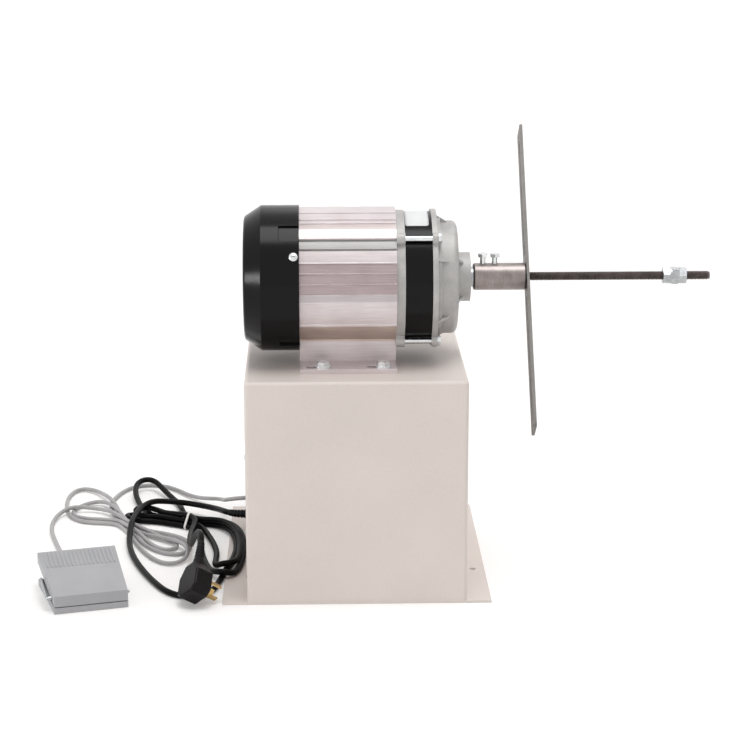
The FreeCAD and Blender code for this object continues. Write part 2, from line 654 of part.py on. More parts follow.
def motor_lead():
    x, y = LEAD_AT
    top = V(x, y, AXIS_Z - END_TURN_R[1] - LOOSE)
    bend_top = V(x, y, LEAD_Z + LEAD_BEND_R)
    bend_end = V(x - LEAD_BEND_R, y, LEAD_Z)
    c = LEAD_BEND_R * (1 - math.cos(math.pi / 4))
    mid = V(x - c, y, LEAD_Z + c)
    path = Part.Wire([Part.makeLine(top, bend_top), Part.Arc(bend_top, mid, bend_end).toShape(),
                      Part.makeLine(bend_end, V(LEAD_END_X, y, LEAD_Z))])
    section = Part.Wire(Part.makeCircle(LEAD_R, top, Z_AXIS * -1))
    keep("motor_lead", path.makePipeShell([section], True, False))


# ---- Motor ---------------------------------------------------------------------------
# Outside of the housing: radius and the two angles from the top between which it holds, on either side.
HOUSING_ARCS = (
    (77.3, 0.0, 24.0), (75.6, 24.5, 36.5), (78.2, 37.0, 46.0), (74.8, 47.0, 48.2), (77.0, 49.0, 55.0),
    (75.0, 55.6, 56.4), (76.9, 57.0, 66.3), (77.8, 66.7, 67.5), (76.5, 68.0, 74.9), (77.8, 75.2, 76.0),
    (76.5, 76.5, 83.5), (77.8, 83.8, 84.6), (76.5, 85.0, 91.6), (77.8, 91.9, 92.5), (76.8, 92.9, 119.5),
    (77.5, 120.0, 121.5), (72.0, 123.0, 148.1))
TUNNEL = (4.0, 30.0, -84.5, -75.0)      # inner and outer Y, bottom and top Z, from the axis


def housing_face():
    x = MOTOR_X
    edges = []
    start = V(x, AXIS_Y, AXIS_Z + HOUSING_ARCS[0][0])
    for side in (1, -1):
        previous = start
        for radius, t0, t1 in HOUSING_ARCS:
            first = polar(x, radius, side * t0)
            last = polar(x, radius, side * t1)
            if (first - previous).Length > 1e-6:
                edges.append(Part.makeLine(previous, first))
            edges.append(Part.Arc(first, polar(x, radius, side * (t0 + t1) / 2), last).toShape())
            previous = last
        corners = [(-side * WEB_Y, FOOT_TOP), (-side * FOOT_HALF, FOOT_TOP),
                   (-side * FOOT_HALF, -AXIS_H), (0.0, -AXIS_H)]
        for y, z in corners:
            at = V(x, AXIS_Y + y, AXIS_Z + z)
            edges.append(Part.makeLine(previous, at))
            previous = at
    return Part.Face(Part.Wire(Part.__sortEdges__(edges)))


def slot_hole(x, y, z0, z1, length, width):
    reach = (length - width) / 2
    hole = box(x - reach, x + reach, y - width / 2, y + width / 2, z0, z1)
    for end in (x - reach, x + reach):
        hole = hole.fuse(cylinder(width / 2, V(end, y, z0), Z_AXIS, z1 - z0))
    return hole


def motor_body():
    body = housing_face().extrude(V(MOTOR_L, 0, 0))
    body = body.cut(on_axis(BORE_R, MOTOR_X - 1, BRACKET_X + 1))
    for side in (-1, 1):
        y0, y1 = sorted((AXIS_Y + side * TUNNEL[0], AXIS_Y + side * TUNNEL[1]))
        tunnel = box(MOTOR_X - 1, BRACKET_X + 1, y0, y1, AXIS_Z + TUNNEL[2], AXIS_Z + TUNNEL[3])
        body = body.cut(tunnel)
    for x, y in foot_bolt_places():
        body = body.cut(slot_hole(x + SLOT_SHIFT, y, CASE_H - 1, CASE_H + FOOT_T + 1, SLOT_L, 2 * M8_R + 1))
    lead = cylinder(LEAD_R + LOOSE, V(LEAD_AT[0], LEAD_AT[1], CASE_H - 1), Z_AXIS, AXIS_H - 50)
    keep("motor_body", body.cut(lead))


def foot_bolts():
    bolts = []
    for x, y in foot_bolt_places():
        seat = CASE_H + FOOT_T
        head_z = seat + M8_WASHER_T
        nut_z = INNER_TOP - M8_NUT_H
        bolt = cylinder(M8_WASHER_R, V(x, y, seat), Z_AXIS, M8_WASHER_T)
        bolt = bolt.fuse(hexagon(M8_AF, V(x, y, head_z), Z_AXIS, M8_HEAD_H, 15.0 + x))
        bolt = bolt.fuse(cylinder(M8_R, V(x, y, nut_z - 2), Z_AXIS, head_z - nut_z + 2))
        bolts.append(bolt.fuse(hexagon(M8_AF, V(x, y, nut_z), Z_AXIS, M8_NUT_H, 40.0 + x)))
    keep("foot_bolts", group(bolts))


def cover_screw_angles():
    return [COVER_SCREW_ANGLE + 120.0 * k for k in range(3)]


def outward(degrees):
    return polar(0, 1, degrees) - V(0, AXIS_Y, AXIS_Z)


def end_cover():
    end_x = MOTOR_X - COVER_L
    cone_x = end_x + COVER_CONE_L
    w = COVER_WALL
    outer = turned([(end_x, 0), (end_x, COVER_END_R), (cone_x, COVER_R), (MOTOR_X, COVER_R), (MOTOR_X, 0)])
    outer = corner_round(outer, 5.0, lambda e: abs(e.BoundBox.XMin - end_x) < 1e-6
                         and e.BoundBox.XLength < 1e-6)
    inner = turned([(end_x + w, 0), (end_x + w, COVER_END_R - w), (cone_x, COVER_R - w),
                    (MOTOR_X + 1, COVER_R - w), (MOTOR_X + 1, 0)])
    inner = corner_round(inner, 3.0, lambda e: abs(e.BoundBox.XMin - end_x - w) < 1e-6
                         and e.BoundBox.XLength < 1e-6)
    cover = outer.cut(inner)
    for t in POCKET_ANGLES:
        thick = sector(COVER_R - 2 * w, COVER_R - w / 2, t - POCKET_ARC, t + POCKET_ARC,
                       MOTOR_X - POCKET_L - w, MOTOR_X)
        pocket = sector(COVER_R - POCKET_DEPTH, COVER_R + 2, t - POCKET_ARC + 1.5, t + POCKET_ARC - 1.5,
                        MOTOR_X - POCKET_L, MOTOR_X + 1)
        cover = cover.fuse(thick).cut(pocket)
    for t in cover_screw_angles():
        boss = cylinder(6.0, polar(COVER_SCREW_X, BOSS_R, t), outward(t), COVER_R - w / 2 - BOSS_R)
        cover = cover.fuse(boss)
        cover = cover.cut(on_axis(DISC_R, MOTOR_X - 30, MOTOR_X + 1))
        cover = cover.cut(cylinder(M5_R, polar(COVER_SCREW_X, DISC_R - 10, t), outward(t), 30))
    for k in range(VENT_COUNT):
        slot = box(end_x - 1, end_x + w + 3, AXIS_Y - VENT_W / 2, AXIS_Y + VENT_W / 2,
                   AXIS_Z + VENT_R[0], AXIS_Z + VENT_R[1])
        cover = cover.cut(around(slot, 360.0 * k / VENT_COUNT + 15))
    keep("end_cover", cover)


DISC_R = 74.8         # rear bracket, inside the fan cover
BOSS_R = 74.0


def cover_screws():
    screws = []
    for t in cover_screw_angles():
        seat = polar(COVER_SCREW_X, COVER_R, t)
        screws.append(screw(M5_R, M5_HEAD_R, M5_HEAD_H, M5_GRIP, seat, outward(t)))
    keep("cover_screws", group(screws))


def bearing(name, sizes, x):
    """A sealed ball bearing: two rings and its shields, solid between them."""
    bore, outer, width = sizes
    body = ring(outer, bore, x, x + width)
    groove_in = bore + (outer - bore) * 0.28
    groove_out = outer - (outer - bore) * 0.28
    for face in (x - 1, x + width - 0.6):
        body = body.cut(ring(groove_out, groove_in, face, face + 1.6))
    keep(name, body)


def rear_bracket():
    disc_x = MOTOR_X - REAR_DISC_T
    bore, outer, width = REAR_BEARING
    hub_x = REAR_BEARING_X
    body = on_axis(DISC_R, disc_x, MOTOR_X)
    body = body.fuse(on_axis(BORE_R, MOTOR_X, MOTOR_X + 4)).cut(on_axis(BORE_R - 5, MOTOR_X, MOTOR_X + 5))
    body = body.fuse(on_axis(outer + SEAT_WALL, hub_x, MOTOR_X))
    body = body.cut(on_axis(outer, hub_x - 1, hub_x + width)).cut(on_axis(bore + 2.5, hub_x, MOTOR_X + 1))
    for k in range(6):
        window = sector(28, 52, -20, 20, disc_x - 1, MOTOR_X + 1)
        body = body.cut(around(window, 60.0 * k))
    for t in cover_screw_angles():
        body = body.cut(cylinder(M5_R, polar(COVER_SCREW_X, COVER_R - M5_GRIP, t), outward(t), 20))
    keep("rear_bracket", body)
    bearing("rear_bearing", REAR_BEARING, REAR_BEARING_X)


def lugs(x0, x1):
    """The four lugs that the long gearbox bolts pass, each with a neck to the disc."""
    solids = []
    for t in TIE_ANGLES:
        lug = cylinder(TIE_LUG_R, polar(x0, TIE_R, t), X_AXIS, x1 - x0)
        neck = box(x0, x1, AXIS_Y - TIE_LUG_R, AXIS_Y + TIE_LUG_R, AXIS_Z + TIE_R - 10, AXIS_Z + TIE_R)
        solids.append(lug.fuse(around(neck, t)))
    return solids


def bolt_holes(x0, x1):
    return [cylinder(M6_R, polar(x0, TIE_R, t), X_AXIS, x1 - x0) for t in TIE_ANGLES]


def front_bracket():
    bore, outer, width = FRONT_BEARING
    body = on_axis(BRACKET_R, BRACKET_X, RING_X).fuse(lugs(BRACKET_X, RING_X))
    hub_x = FRONT_BEARING_X - 4.5
    body = body.fuse(on_axis(outer + 6.5, hub_x, BRACKET_X))
    spigot = ring(BORE_R, BORE_R - 5, BRACKET_X - 4, BRACKET_X)
    body = body.fuse(spigot)
    body = body.cut(on_axis(outer, FRONT_BEARING_X, FRONT_BEARING_X + width))
    body = body.cut(on_axis(bore + 3, hub_x - 1, FRONT_BEARING_X + 1))
    body = body.cut(on_axis(bore + 1, RING_X - 3, RING_X + 1))
    body = body.cut(Part.makeCompound(bolt_holes(BRACKET_X + 2.5, RING_X + 1)))
    keep("front_bracket", body)
    bearing("front_bearing", FRONT_BEARING, FRONT_BEARING_X)


def stator_slot(r0, r1, width, x0, x1):
    return box(x0, x1, AXIS_Y - width / 2, AXIS_Y + width / 2, AXIS_Z + r0, AXIS_Z + r1)


def stator():
    bore = ROTOR_R + AIR_GAP
    end_x = STACK_X + STACK_L
    core = ring(BORE_R, bore, STACK_X, end_x)
    wires = []
    r0, r1 = STATOR_SLOT_R
    for k in range(STATOR_SLOTS):
        t = 360.0 * k / STATOR_SLOTS
        slot = stator_slot(r0, r1, STATOR_SLOT_W, STACK_X - 1, end_x + 1)
        mouth = stator_slot(bore - 1, r0 + 1, 2.0, STACK_X - 1, end_x + 1)
        core = core.cut(around(slot.fuse(mouth), t))
        wires.append(around(stator_slot(r0 + 1.0, r1, STATOR_SLOT_W, STACK_X - 1, end_x + 1), t))
    inner, outer = END_TURN_R
    rear = ring(outer, inner, STACK_X - END_TURN_L[0], STACK_X)
    front = ring(outer, inner, end_x, end_x + END_TURN_L[1])
    keep("stator_core", core)
    keep("stator_windings", rear.fuse([front] + wires))


def rotor():
    end_x = STACK_X + STACK_L
    keep("rotor_core", ring(ROTOR_R, SHAFT_CORE_R, STACK_X, end_x))
    rear_r = REAR_BEARING[0] - RUN
    front_r = FRONT_BEARING[0] - RUN
    steps = [(SHAFT_REAR_X, 0), (SHAFT_REAR_X, SHAFT_FAN_R), (REAR_BEARING_X - 2, SHAFT_FAN_R),
             (REAR_BEARING_X - 2, rear_r), (MOTOR_X - 0.4, rear_r), (MOTOR_X - 0.4, SHAFT_CORE_R),
             (FRONT_BEARING_X - 2.5, SHAFT_CORE_R), (FRONT_BEARING_X - 2.5, front_r), (GEAR_X, front_r),
             (GEAR_X, 0)]
    pitch = GEAR_MODULE * SUN_TEETH / 2
    sun = gear(SUN_TEETH, pitch + GEAR_MODULE, pitch - 1.25 * GEAR_MODULE, BACKLASH / 2,
               GEAR_X, GEAR_X + GEAR_L)
    keep("rotor_shaft", turned(steps).fuse(sun))


def cooling_fan():
    plate_x = FAN_X + FAN_L - 2
    fan = on_axis(FAN_HUB_R, FAN_X, FAN_X + FAN_L).fuse(on_axis(FAN_R, plate_x, FAN_X + FAN_L))
    for k in range(FAN_BLADES):
        blade = box(FAN_X, plate_x, AXIS_Y - FAN_BLADE_T / 2, AXIS_Y + FAN_BLADE_T / 2,
                    AXIS_Z + FAN_HUB_R - 2, AXIS_Z + FAN_R - 1)
        fan = fan.fuse(around(blade, 360.0 * k / FAN_BLADES))
    keep("cooling_fan", fan.cut(on_axis(SHAFT_FAN_R, FAN_X - 1, FAN_X + FAN_L + 1)))


# ---- Gearbox -------------------------------------------------------------------------
def ring_gear_case():
    pitch = GEAR_MODULE * RING_TEETH / 2
    body = on_axis(RING_R, RING_X, BOX_X)
    space = gear(RING_TEETH, pitch + 1.25 * GEAR_MODULE, pitch - GEAR_MODULE, -BACKLASH / 2,
                 RING_X - 1, BOX_X + 1)
    keep("ring_gear_case", body.cut(space))


def planet_gears():
    pitch = GEAR_MODULE * PLANET_TEETH / 2
    for k in range(PLANETS):
        planet = gear(PLANET_TEETH, pitch + GEAR_MODULE, pitch - 1.25 * GEAR_MODULE, BACKLASH / 2,
                      GEAR_X, GEAR_X + GEAR_L)
        planet = planet.cut(on_axis(PIN_R + RUN, GEAR_X - 1, CARRIER_X))
        planet.translate(V(0, 0, PLANET_ORBIT))
        keep("planet_gear_%d" % (k + 1), around(planet, 360.0 * k / PLANETS))


def planet_carrier():
    radius = PLANET_ORBIT + CARRIER_EDGE
    end_x = CARRIER_X + CARRIER_T
    plate = on_axis(radius, CARRIER_X, end_x).fuse(on_axis(CARRIER_HUB_R, end_x, end_x + CARRIER_HUB_L))
    for k in range(PLANETS):
        t = 360.0 * k / PLANETS
        plate = plate.fuse(cylinder(PIN_R, polar(GEAR_X, PLANET_ORBIT, t), X_AXIS, end_x - GEAR_X))
        collar = cylinder(PIN_R + 3, polar(GEAR_X + GEAR_L + 0.2, PLANET_ORBIT, t), X_AXIS, CARRIER_GAP)
        plate = plate.fuse(collar)
        relief = cylinder(9.0, polar(CARRIER_X - 1, PLANET_ORBIT, t + 60), X_AXIS, CARRIER_T + 2)
        plate = plate.cut(relief)
    keep("planet_carrier", plate.cut(on_axis(SHAFT_R - RUN, CARRIER_X - 1, end_x + CARRIER_HUB_L + 1)))


CARRIER_HUB_R = 18.0
CARRIER_HUB_L = 5.0
CAVITY_R = 56.0


def gusset(points, degrees):
    """A thin rib on the spindle axis' far side, from (x, radius) points."""
    corners = [V(x, AXIS_Y - GUSSET_T / 2, AXIS_Z + r) for x, r in points]
    rib = Part.Face(Part.makePolygon(corners + corners[:1])).extrude(V(0, GUSSET_T, 0))
    return around(rib, degrees)


def gearbox_cover():
    flange_x = BOX_X + BOX_FLANGE_T
    step_x = flange_x + BOX_STEP_T
    bore, outer, width = OUTPUT_BEARING
    body = on_axis(BOX_R, BOX_X, BOX_END_X)
    body = corner_round(body, BOX_SHOULDER, lambda e: abs(e.BoundBox.XMin - BOX_END_X) < 1e-6
                        and e.BoundBox.XLength < 1e-6)
    body = body.fuse([on_axis(BOX_FLANGE_R, BOX_X, flange_x), on_axis(BOX_STEP_R, BOX_X, step_x),
                      on_axis(HUB_R, BOX_END_X - 1, HUB_X)])
    body = body.fuse(lugs(BOX_X, flange_x))
    for k in range(GUSSETS):
        rib = [(flange_x - 1, BOX_R - 2), (flange_x - 1, BOX_FLANGE_R - 5), (flange_x, BOX_FLANGE_R - 5),
               (flange_x + 13, BOX_R), (flange_x + 13, BOX_R - 2)]
        body = body.fuse(gusset(rib, GUSSET_ANGLE + 360.0 * k / GUSSETS))
    for k in range(HUB_GUSSETS):
        rib = [(BOX_END_X - 1, HUB_R - 2), (BOX_END_X - 1, HUB_GUSSET_R), (BOX_END_X, HUB_GUSSET_R),
               (BOX_END_X + 7, HUB_R), (BOX_END_X + 7, HUB_R - 2)]
        body = body.fuse(gusset(rib, 45.0 + 360.0 * k / HUB_GUSSETS))
    body = body.cut(on_axis(CAVITY_R, BOX_X - 1, BOX_END_X - BOX_WALL))
    body = body.cut(on_axis(outer - 3.5, BOX_X, OUTPUT_BEARING_X + 1))
    body = body.cut(on_axis(outer, OUTPUT_BEARING_X, OUTPUT_BEARING_X + width))
    body = body.cut(on_axis(SEAL_R, OUTPUT_BEARING_X + width, HUB_X + 1))
    keep("gearbox_cover", body.cut(Part.makeCompound(bolt_holes(BOX_X - 1, flange_x + 1))))
    bearing("output_bearing", OUTPUT_BEARING, OUTPUT_BEARING_X)
    keep("shaft_seal", ring(SEAL_R, SHAFT_R, HUB_X - SEAL_T, HUB_X))


def tie_bolts():
    bolts = []
    head_x = BOX_X + BOX_FLANGE_T
    for t in TIE_ANGLES:
        tip_x = BRACKET_X + 3
        shank = cylinder(M6_R, polar(tip_x, TIE_R, t), X_AXIS, head_x - tip_x)
        bolts.append(shank.fuse(hexagon(M6_AF, polar(head_x, TIE_R, t), X_AXIS, M6_HEAD_H, t)))
    keep("tie_bolts", group(bolts))


# ---- Winding head --------------------------------------------------------------------
KEY_X = SLEEVE_X + 2.0


def output_shaft():
    r = SHAFT_R - RUN
    end_x = SLEEVE_X + SHAFT_IN_SLEEVE
    shaft = turned([(CARRIER_X, 0), (CARRIER_X, r), (HUB_X + 0.3, r), (HUB_X + 0.3, COLLAR_R),
                    (SLEEVE_X, COLLAR_R), (SLEEVE_X, SHAFT_R), (end_x, SHAFT_R), (end_x, 0)])
    y0, y1 = AXIS_Y - KEY_W / 2, AXIS_Y + KEY_W / 2
    bottom = AXIS_Z - SHAFT_R
    seat = box(KEY_X, KEY_X + KEY_L, y0, y1, bottom - 1, bottom + KEY_H / 2)
    keep("output_shaft", shaft.cut(seat))
    keep("shaft_key", box(KEY_X, KEY_X + KEY_L, y0, y1, bottom - KEY_H / 2, bottom + KEY_H / 2))


def coupling_sleeve():
    c = SLEEVE_CHAMFER
    r = SLEEVE_R
    sleeve = turned([(SLEEVE_X, 0), (SLEEVE_X, r - c), (SLEEVE_X + c, r), (BAR_X - c, r),
                     (BAR_X, r - c), (BAR_X, 0)])
    sleeve = sleeve.cut(on_axis(SHAFT_R, SLEEVE_X - 1, SLEEVE_X + SHAFT_IN_SLEEVE + 1))
    sleeve = sleeve.cut(on_axis(ROD_R, SLEEVE_X, BAR_X + 1))
    y0, y1 = AXIS_Y - KEY_W / 2, AXIS_Y + KEY_W / 2
    bottom = AXIS_Z - SHAFT_R
    sleeve = sleeve.cut(box(SLEEVE_X - 1, KEY_X + KEY_L, y0, y1, bottom - KEY_H / 2, bottom + 3))
    for x in CLAMP_SCREW_X:
        sleeve = sleeve.cut(cylinder(M6_R, V(SLEEVE_X + x, AXIS_Y, AXIS_Z), Z_AXIS, r + 1))
    keep("coupling_sleeve", sleeve)


def clamp_screws():
    screws = []
    for x in CLAMP_SCREW_X:
        head_z = AXIS_Z + SLEEVE_R + CLAMP_SCREW_OUT - M6_HEAD_H
        shank = cylinder(M6_R, V(SLEEVE_X + x, AXIS_Y, AXIS_Z + SHAFT_R), Z_AXIS, head_z - AXIS_Z - SHAFT_R)
        screws.append(shank.fuse(hexagon(M6_AF, V(SLEEVE_X + x, AXIS_Y, head_z), Z_AXIS, M6_HEAD_H, x)))
    keep("clamp_screws", group(screws))


def faceplate_bar():
    bar = box(BAR_X, BAR_X + BAR_T, AXIS_Y - BAR_W / 2, AXIS_Y + BAR_W / 2,
              AXIS_Z - BAR_L / 2, AXIS_Z + BAR_L / 2)
    bar = corner_round(bar, BAR_CORNER_R, lambda e: runs_along(e, X_AXIS))
    near, far = BAR_SLOT
    half = BAR_SLOT_W / 2
    for side in (-1, 1):
        z0, z1 = sorted((AXIS_Z + side * (near + half), AXIS_Z + side * (far - half)))
        slot = box(BAR_X - 1, BAR_X + BAR_T + 1, AXIS_Y - half, AXIS_Y + half, z0, z1)
        for z in (z0, z1):
            slot = slot.fuse(cylinder(half, V(BAR_X - 1, AXIS_Y, z), X_AXIS, BAR_T + 2))
        bar = bar.cut(slot)
    bar = bar.cut(on_axis(ROD_R, BAR_X - 1, BAR_X + BAR_T + 1))
    keep("faceplate_bar", around(bar, -BAR_LEAN))


def winding_rod():
    c = ROD_CHAMFER
    x0 = BAR_X - ROD_IN_SLEEVE
    keep("winding_rod", turned([(x0, 0), (x0, ROD_R), (ROD_TIP_X - c, ROD_R), (ROD_TIP_X, ROD_R - c),
                                (ROD_TIP_X, 0)]))


def clamp_nuts():
    bore = ROD_R + RUN
    washer_x = NUT_X + NUT_H
    starts = (NUT_X, washer_x + NUT_WASHER_T, washer_x + NUT_WASHER_T + NUT_H)
    nuts = []
    for x, turn in zip(starts, NUT_TURNS):
        nut = hexagon(NUT_AF, V(x, AXIS_Y, AXIS_Z), X_AXIS, NUT_H, turn)
        corner = NUT_AF / math.sqrt(3)
        round_off = turned([(x, 0), (x, corner - 0.9), (x + 0.9, corner), (x + NUT_H - 0.9, corner),
                            (x + NUT_H, corner - 0.9), (x + NUT_H, 0)])
        nuts.append(nut.common(round_off).cut(on_axis(bore, x - 1, x + NUT_H + 1)))
    keep("clamp_nuts", group(nuts))
    keep("nut_washer", ring(NUT_WASHER_R, bore, washer_x, washer_x + NUT_WASHER_T))


# ---- Foot pedal: built facing -Y at the origin, then set down beside the case --------
PEDAL_AT = V(-287.35, -183.2, 0)
PEDAL_TURN = 15.0
PEDAL_L = 98.0
PEDAL_FRONT_W = 80.0
PEDAL_REAR_W = 87.0
PEDAL_FRONT_Z = 20.0
PEDAL_REAR_Z = 38.0
PEDAL_SKIRT = 12.0
PEDAL_SHEET = 1.5
PEDAL_TOP_T = 2.5
PEDAL_RIM_Z = 7.0
PEDAL_FLOOR_T = 2.0
PEDAL_PIN = (14.0, 14.0)        # depth and height of the hinge pin
PEDAL_PIN_R = 2.5
PEDAL_PIN_HALF = 44.0
LEG_X = -46.0
LEG_R = 1.5
LEG_END = (56.0, 22.0)
PEDAL_RIBS = 17
PEDAL_RIB_PITCH = 4.6
PEDAL_RIB = (62.0, 94.0, 0.8, 1.8)
SPRING_AT = (0.0, 46.0)
SPRING_R = 5.5
SPRING_WIRE_R = 0.8
SPRING_TURNS = 6
SPRING_TOP_Z = 24.0
SWITCH_AT = (0.0, 76.0)
SWITCH_SIZE = (28.0, 12.0, 16.0)
PLUNGER_Z = 19.0
PRESSER_Z = 26.0
PEDAL_LEAD_AT = (-20.0, 94.0, 12.0)


def set_down(shape):
    shape.rotate(V(0, 0, 0), Z_AXIS, PEDAL_TURN)
    shape.translate(PEDAL_AT)
    return shape


def pedal_world(x, y, z):
    a = math.radians(PEDAL_TURN)
    c, s = math.cos(a), math.sin(a)
    return V(PEDAL_AT.x + x * c - y * s, PEDAL_AT.y + x * s + y * c, z)


def tapered(inset, z0, z1):
    """An upright prism of the pedal's outline, moved in by inset."""
    front = PEDAL_FRONT_W / 2 - inset
    rear = PEDAL_REAR_W / 2 - inset
    y0, y1 = inset, PEDAL_L - inset
    points = [V(-front, y0, z0), V(front, y0, z0), V(rear, y1, z0), V(-rear, y1, z0), V(-front, y0, z0)]
    return Part.Face(Part.makePolygon(points)).extrude(V(0, 0, z1 - z0))


def side_profile(points, x0, x1):
    """A prism across the pedal from (depth, height) points."""
    corners = [V(x0, y, z) for y, z in points]
    return Part.Face(Part.makePolygon(corners + corners[:1])).extrude(V(x1 - x0, 0, 0))


def plate_z(y):
    return PEDAL_FRONT_Z + (PEDAL_REAR_Z - PEDAL_FRONT_Z) * y / PEDAL_L


def pedal_plate():
    t = PEDAL_TOP_T
    far = PEDAL_L
    reach = PEDAL_REAR_W / 2 + 10
    wedge = [(0, plate_z(0) - PEDAL_SKIRT), (0, plate_z(0)), (far, plate_z(far)),
             (far, plate_z(far) - PEDAL_SKIRT)]
    plate = side_profile(wedge, -reach, reach).common(tapered(0.0, 0, reach))
    below = [(-5, plate_z(-5) - 30), (-5, plate_z(-5) - t), (far + 5, plate_z(far + 5) - t),
             (far + 5, plate_z(far) - 30)]
    plate = plate.cut(side_profile(below, -reach, reach).common(tapered(PEDAL_SHEET, -10, reach)))
    for k in range(PEDAL_RIBS):
        x = (k - (PEDAL_RIBS - 1) / 2) * PEDAL_RIB_PITCH
        y0, y1, high, wide = PEDAL_RIB
        rib = [(y0, plate_z(y0) - 1), (y0, plate_z(y0) + high), (y1, plate_z(y1) + high),
               (y1, plate_z(y1) - 1)]
        plate = plate.fuse(side_profile(rib, x - wide / 2, x + wide / 2))
    seat_x, seat_y = SPRING_AT
    seat_l = plate_z(seat_y) - SPRING_TOP_Z - 1
    plate = plate.fuse(cylinder(SPRING_R + 1.5, V(seat_x, seat_y, SPRING_TOP_Z), Z_AXIS, seat_l))
    press_x, press_y = SWITCH_AT
    presser_l = plate_z(press_y) - PRESSER_Z - 1
    plate = plate.fuse(cylinder(3.5, V(press_x, press_y, PRESSER_Z), Z_AXIS, presser_l))
    y, z = PEDAL_PIN
    plate = plate.cut(cylinder(PEDAL_PIN_R + RUN, V(-reach, y, z), X_AXIS, 2 * reach))
    keep("pedal_plate", set_down(plate))


def pedal_base():
    base = tapered(0.0, 0, PEDAL_RIM_Z).cut(tapered(2.0, PEDAL_FLOOR_T, PEDAL_RIM_Z + 1))
    rear = PEDAL_L - 4.0
    wall_x = PEDAL_FRONT_W / 2 - 4.0
    wall = [(6, 1), (rear, 1), (rear, 20), (22, 18.5), (8, 18.5), (6, 16)]
    for x in (-wall_x, wall_x - 2.0):
        base = base.fuse(side_profile(wall, x, x + 2.0))
    base = base.fuse(box(1 - wall_x, wall_x - 1, rear - 2, rear, 1, 20))
    y, z = PEDAL_PIN
    base = base.cut(cylinder(PEDAL_PIN_R, V(-PEDAL_REAR_W, y, z), X_AXIS, 2 * PEDAL_REAR_W))
    keep("pedal_base", set_down(base))


def pedal_pin():
    y, z = PEDAL_PIN
    pin = cylinder(PEDAL_PIN_R, V(-PEDAL_PIN_HALF, y, z), X_AXIS, 2 * PEDAL_PIN_HALF)
    arm = cylinder(LEG_R, V(LEG_X, y, z), X_AXIS, -PEDAL_PIN_HALF - LEG_X + 1)
    end = V(LEG_X, LEG_END[0], LEG_END[1])
    leg = end - V(LEG_X, y, z)
    pin = pin.fuse([arm, cylinder(LEG_R, V(LEG_X, y, z), leg, leg.Length),
                    Part.makeSphere(LEG_R, V(LEG_X, y, z)), Part.makeSphere(LEG_R, end)])
    keep("pedal_pin", set_down(pin))


def pedal_spring():
    height = SPRING_TOP_Z - PEDAL_FLOOR_T - 2 * SPRING_WIRE_R
    helix = Part.makeHelix(height / SPRING_TURNS, height, SPRING_R - SPRING_WIRE_R)
    section = Part.Wire(Part.makeCircle(SPRING_WIRE_R, V(SPRING_R - SPRING_WIRE_R, 0, 0), Y_AXIS))
    coil = Part.Wire(helix.Edges).makePipeShell([section], True, True)
    coil.translate(V(SPRING_AT[0], SPRING_AT[1], PEDAL_FLOOR_T + SPRING_WIRE_R))
    keep("pedal_spring", set_down(coil))


def pedal_switch():
    x, y = SWITCH_AT
    w, d, h = SWITCH_SIZE
    body = box(x - w / 2, x + w / 2, y - d / 2, y + d / 2, PEDAL_FLOOR_T, PEDAL_FLOOR_T + h)
    top_z = PEDAL_FLOOR_T + h
    body = body.fuse(cylinder(2.0, V(x, y, top_z - 1), Z_AXIS, PLUNGER_Z - top_z + 1))
    tag_x, tag_z = x - w / 2 - 5, PEDAL_FLOOR_T + 3
    body = body.fuse(box(tag_x, tag_x + 6, y - 2.5, y + 2.5, tag_z, tag_z + 2))
    keep("pedal_switch", set_down(body))


# ---- Cords: straight runs joined by arcs that touch both -----------------------------
POWER_R = 3.5
PEDAL_R = 2.5
FLOOR_POWER = POWER_R
FLOOR_PEDAL = PEDAL_R
POWER_ROUTE = (
    (-119.0, 75.0, POWER_GLAND_Z), (-137.0, 75.0, POWER_GLAND_Z), (-151.0, 86.2, 22.5),
    (-158.5, 104.0, 19.5), (-168.0, 124.0, 17.0), (-185.0, 142.0, 15.0), (-206.0, 155.0, 14.0),
    (-228.0, 156.0, 14.0), (-245.0, 147.0, 16.0), (-256.0, 130.0, 18.5), (-261.5, 107.0, 18.5),
    (-264.5, 82.0, 18.0), (-265.0, 58.0, 13.0), (-264.5, 34.0, 6.5), (-261.5, 8.0, FLOOR_POWER),
    (-255.5, -20.0, FLOOR_POWER), (-246.5, -50.0, FLOOR_POWER), (-235.0, -82.0, FLOOR_POWER),
    (-222.0, -112.0, FLOOR_POWER), (-212.0, -132.0, FLOOR_POWER), (-199.0, -147.0, FLOOR_POWER),
    (-182.0, -152.0, FLOOR_POWER), (-166.5, -145.5, FLOOR_POWER), (-157.5, -129.5, 4.2),
    (-154.0, -111.0, 6.0), (-151.5, -92.0, 8.0))
PLUG_RUN = (
    (-188.0, 76.0, 12.0), (-191.0, 52.0, 14.5), (-192.0, 26.0, 14.5), (-191.0, -5.0, 15.0),
    (-188.0, -33.0, 22.0), (-184.0, -56.0, 36.0), (-179.0, -77.0, 51.0), (-173.5, -98.5, 61.0))
PEDAL_ROUTE = (
    (-119.0, 75.0, PEDAL_GLAND_Z), (-138.0, 75.0, PEDAL_GLAND_Z), (-148.5, 91.5, 39.0),
    (-152.0, 117.0, 28.5), (-157.0, 145.0, 17.0), (-164.0, 170.0, 7.0), (-176.0, 186.0, FLOOR_PEDAL),
    (-191.0, 198.0, FLOOR_PEDAL), (-205.0, 215.0, FLOOR_PEDAL), (-218.0, 236.0, FLOOR_PEDAL),
    (-233.0, 253.0, FLOOR_PEDAL), (-251.0, 262.0, FLOOR_PEDAL), (-268.0, 260.0, FLOOR_PEDAL),
    (-282.0, 247.0, FLOOR_PEDAL), (-291.0, 228.0, FLOOR_PEDAL), (-297.0, 204.0, FLOOR_PEDAL),
    (-299.0, 182.0, 6.0), (-298.0, 166.0, 8.0))
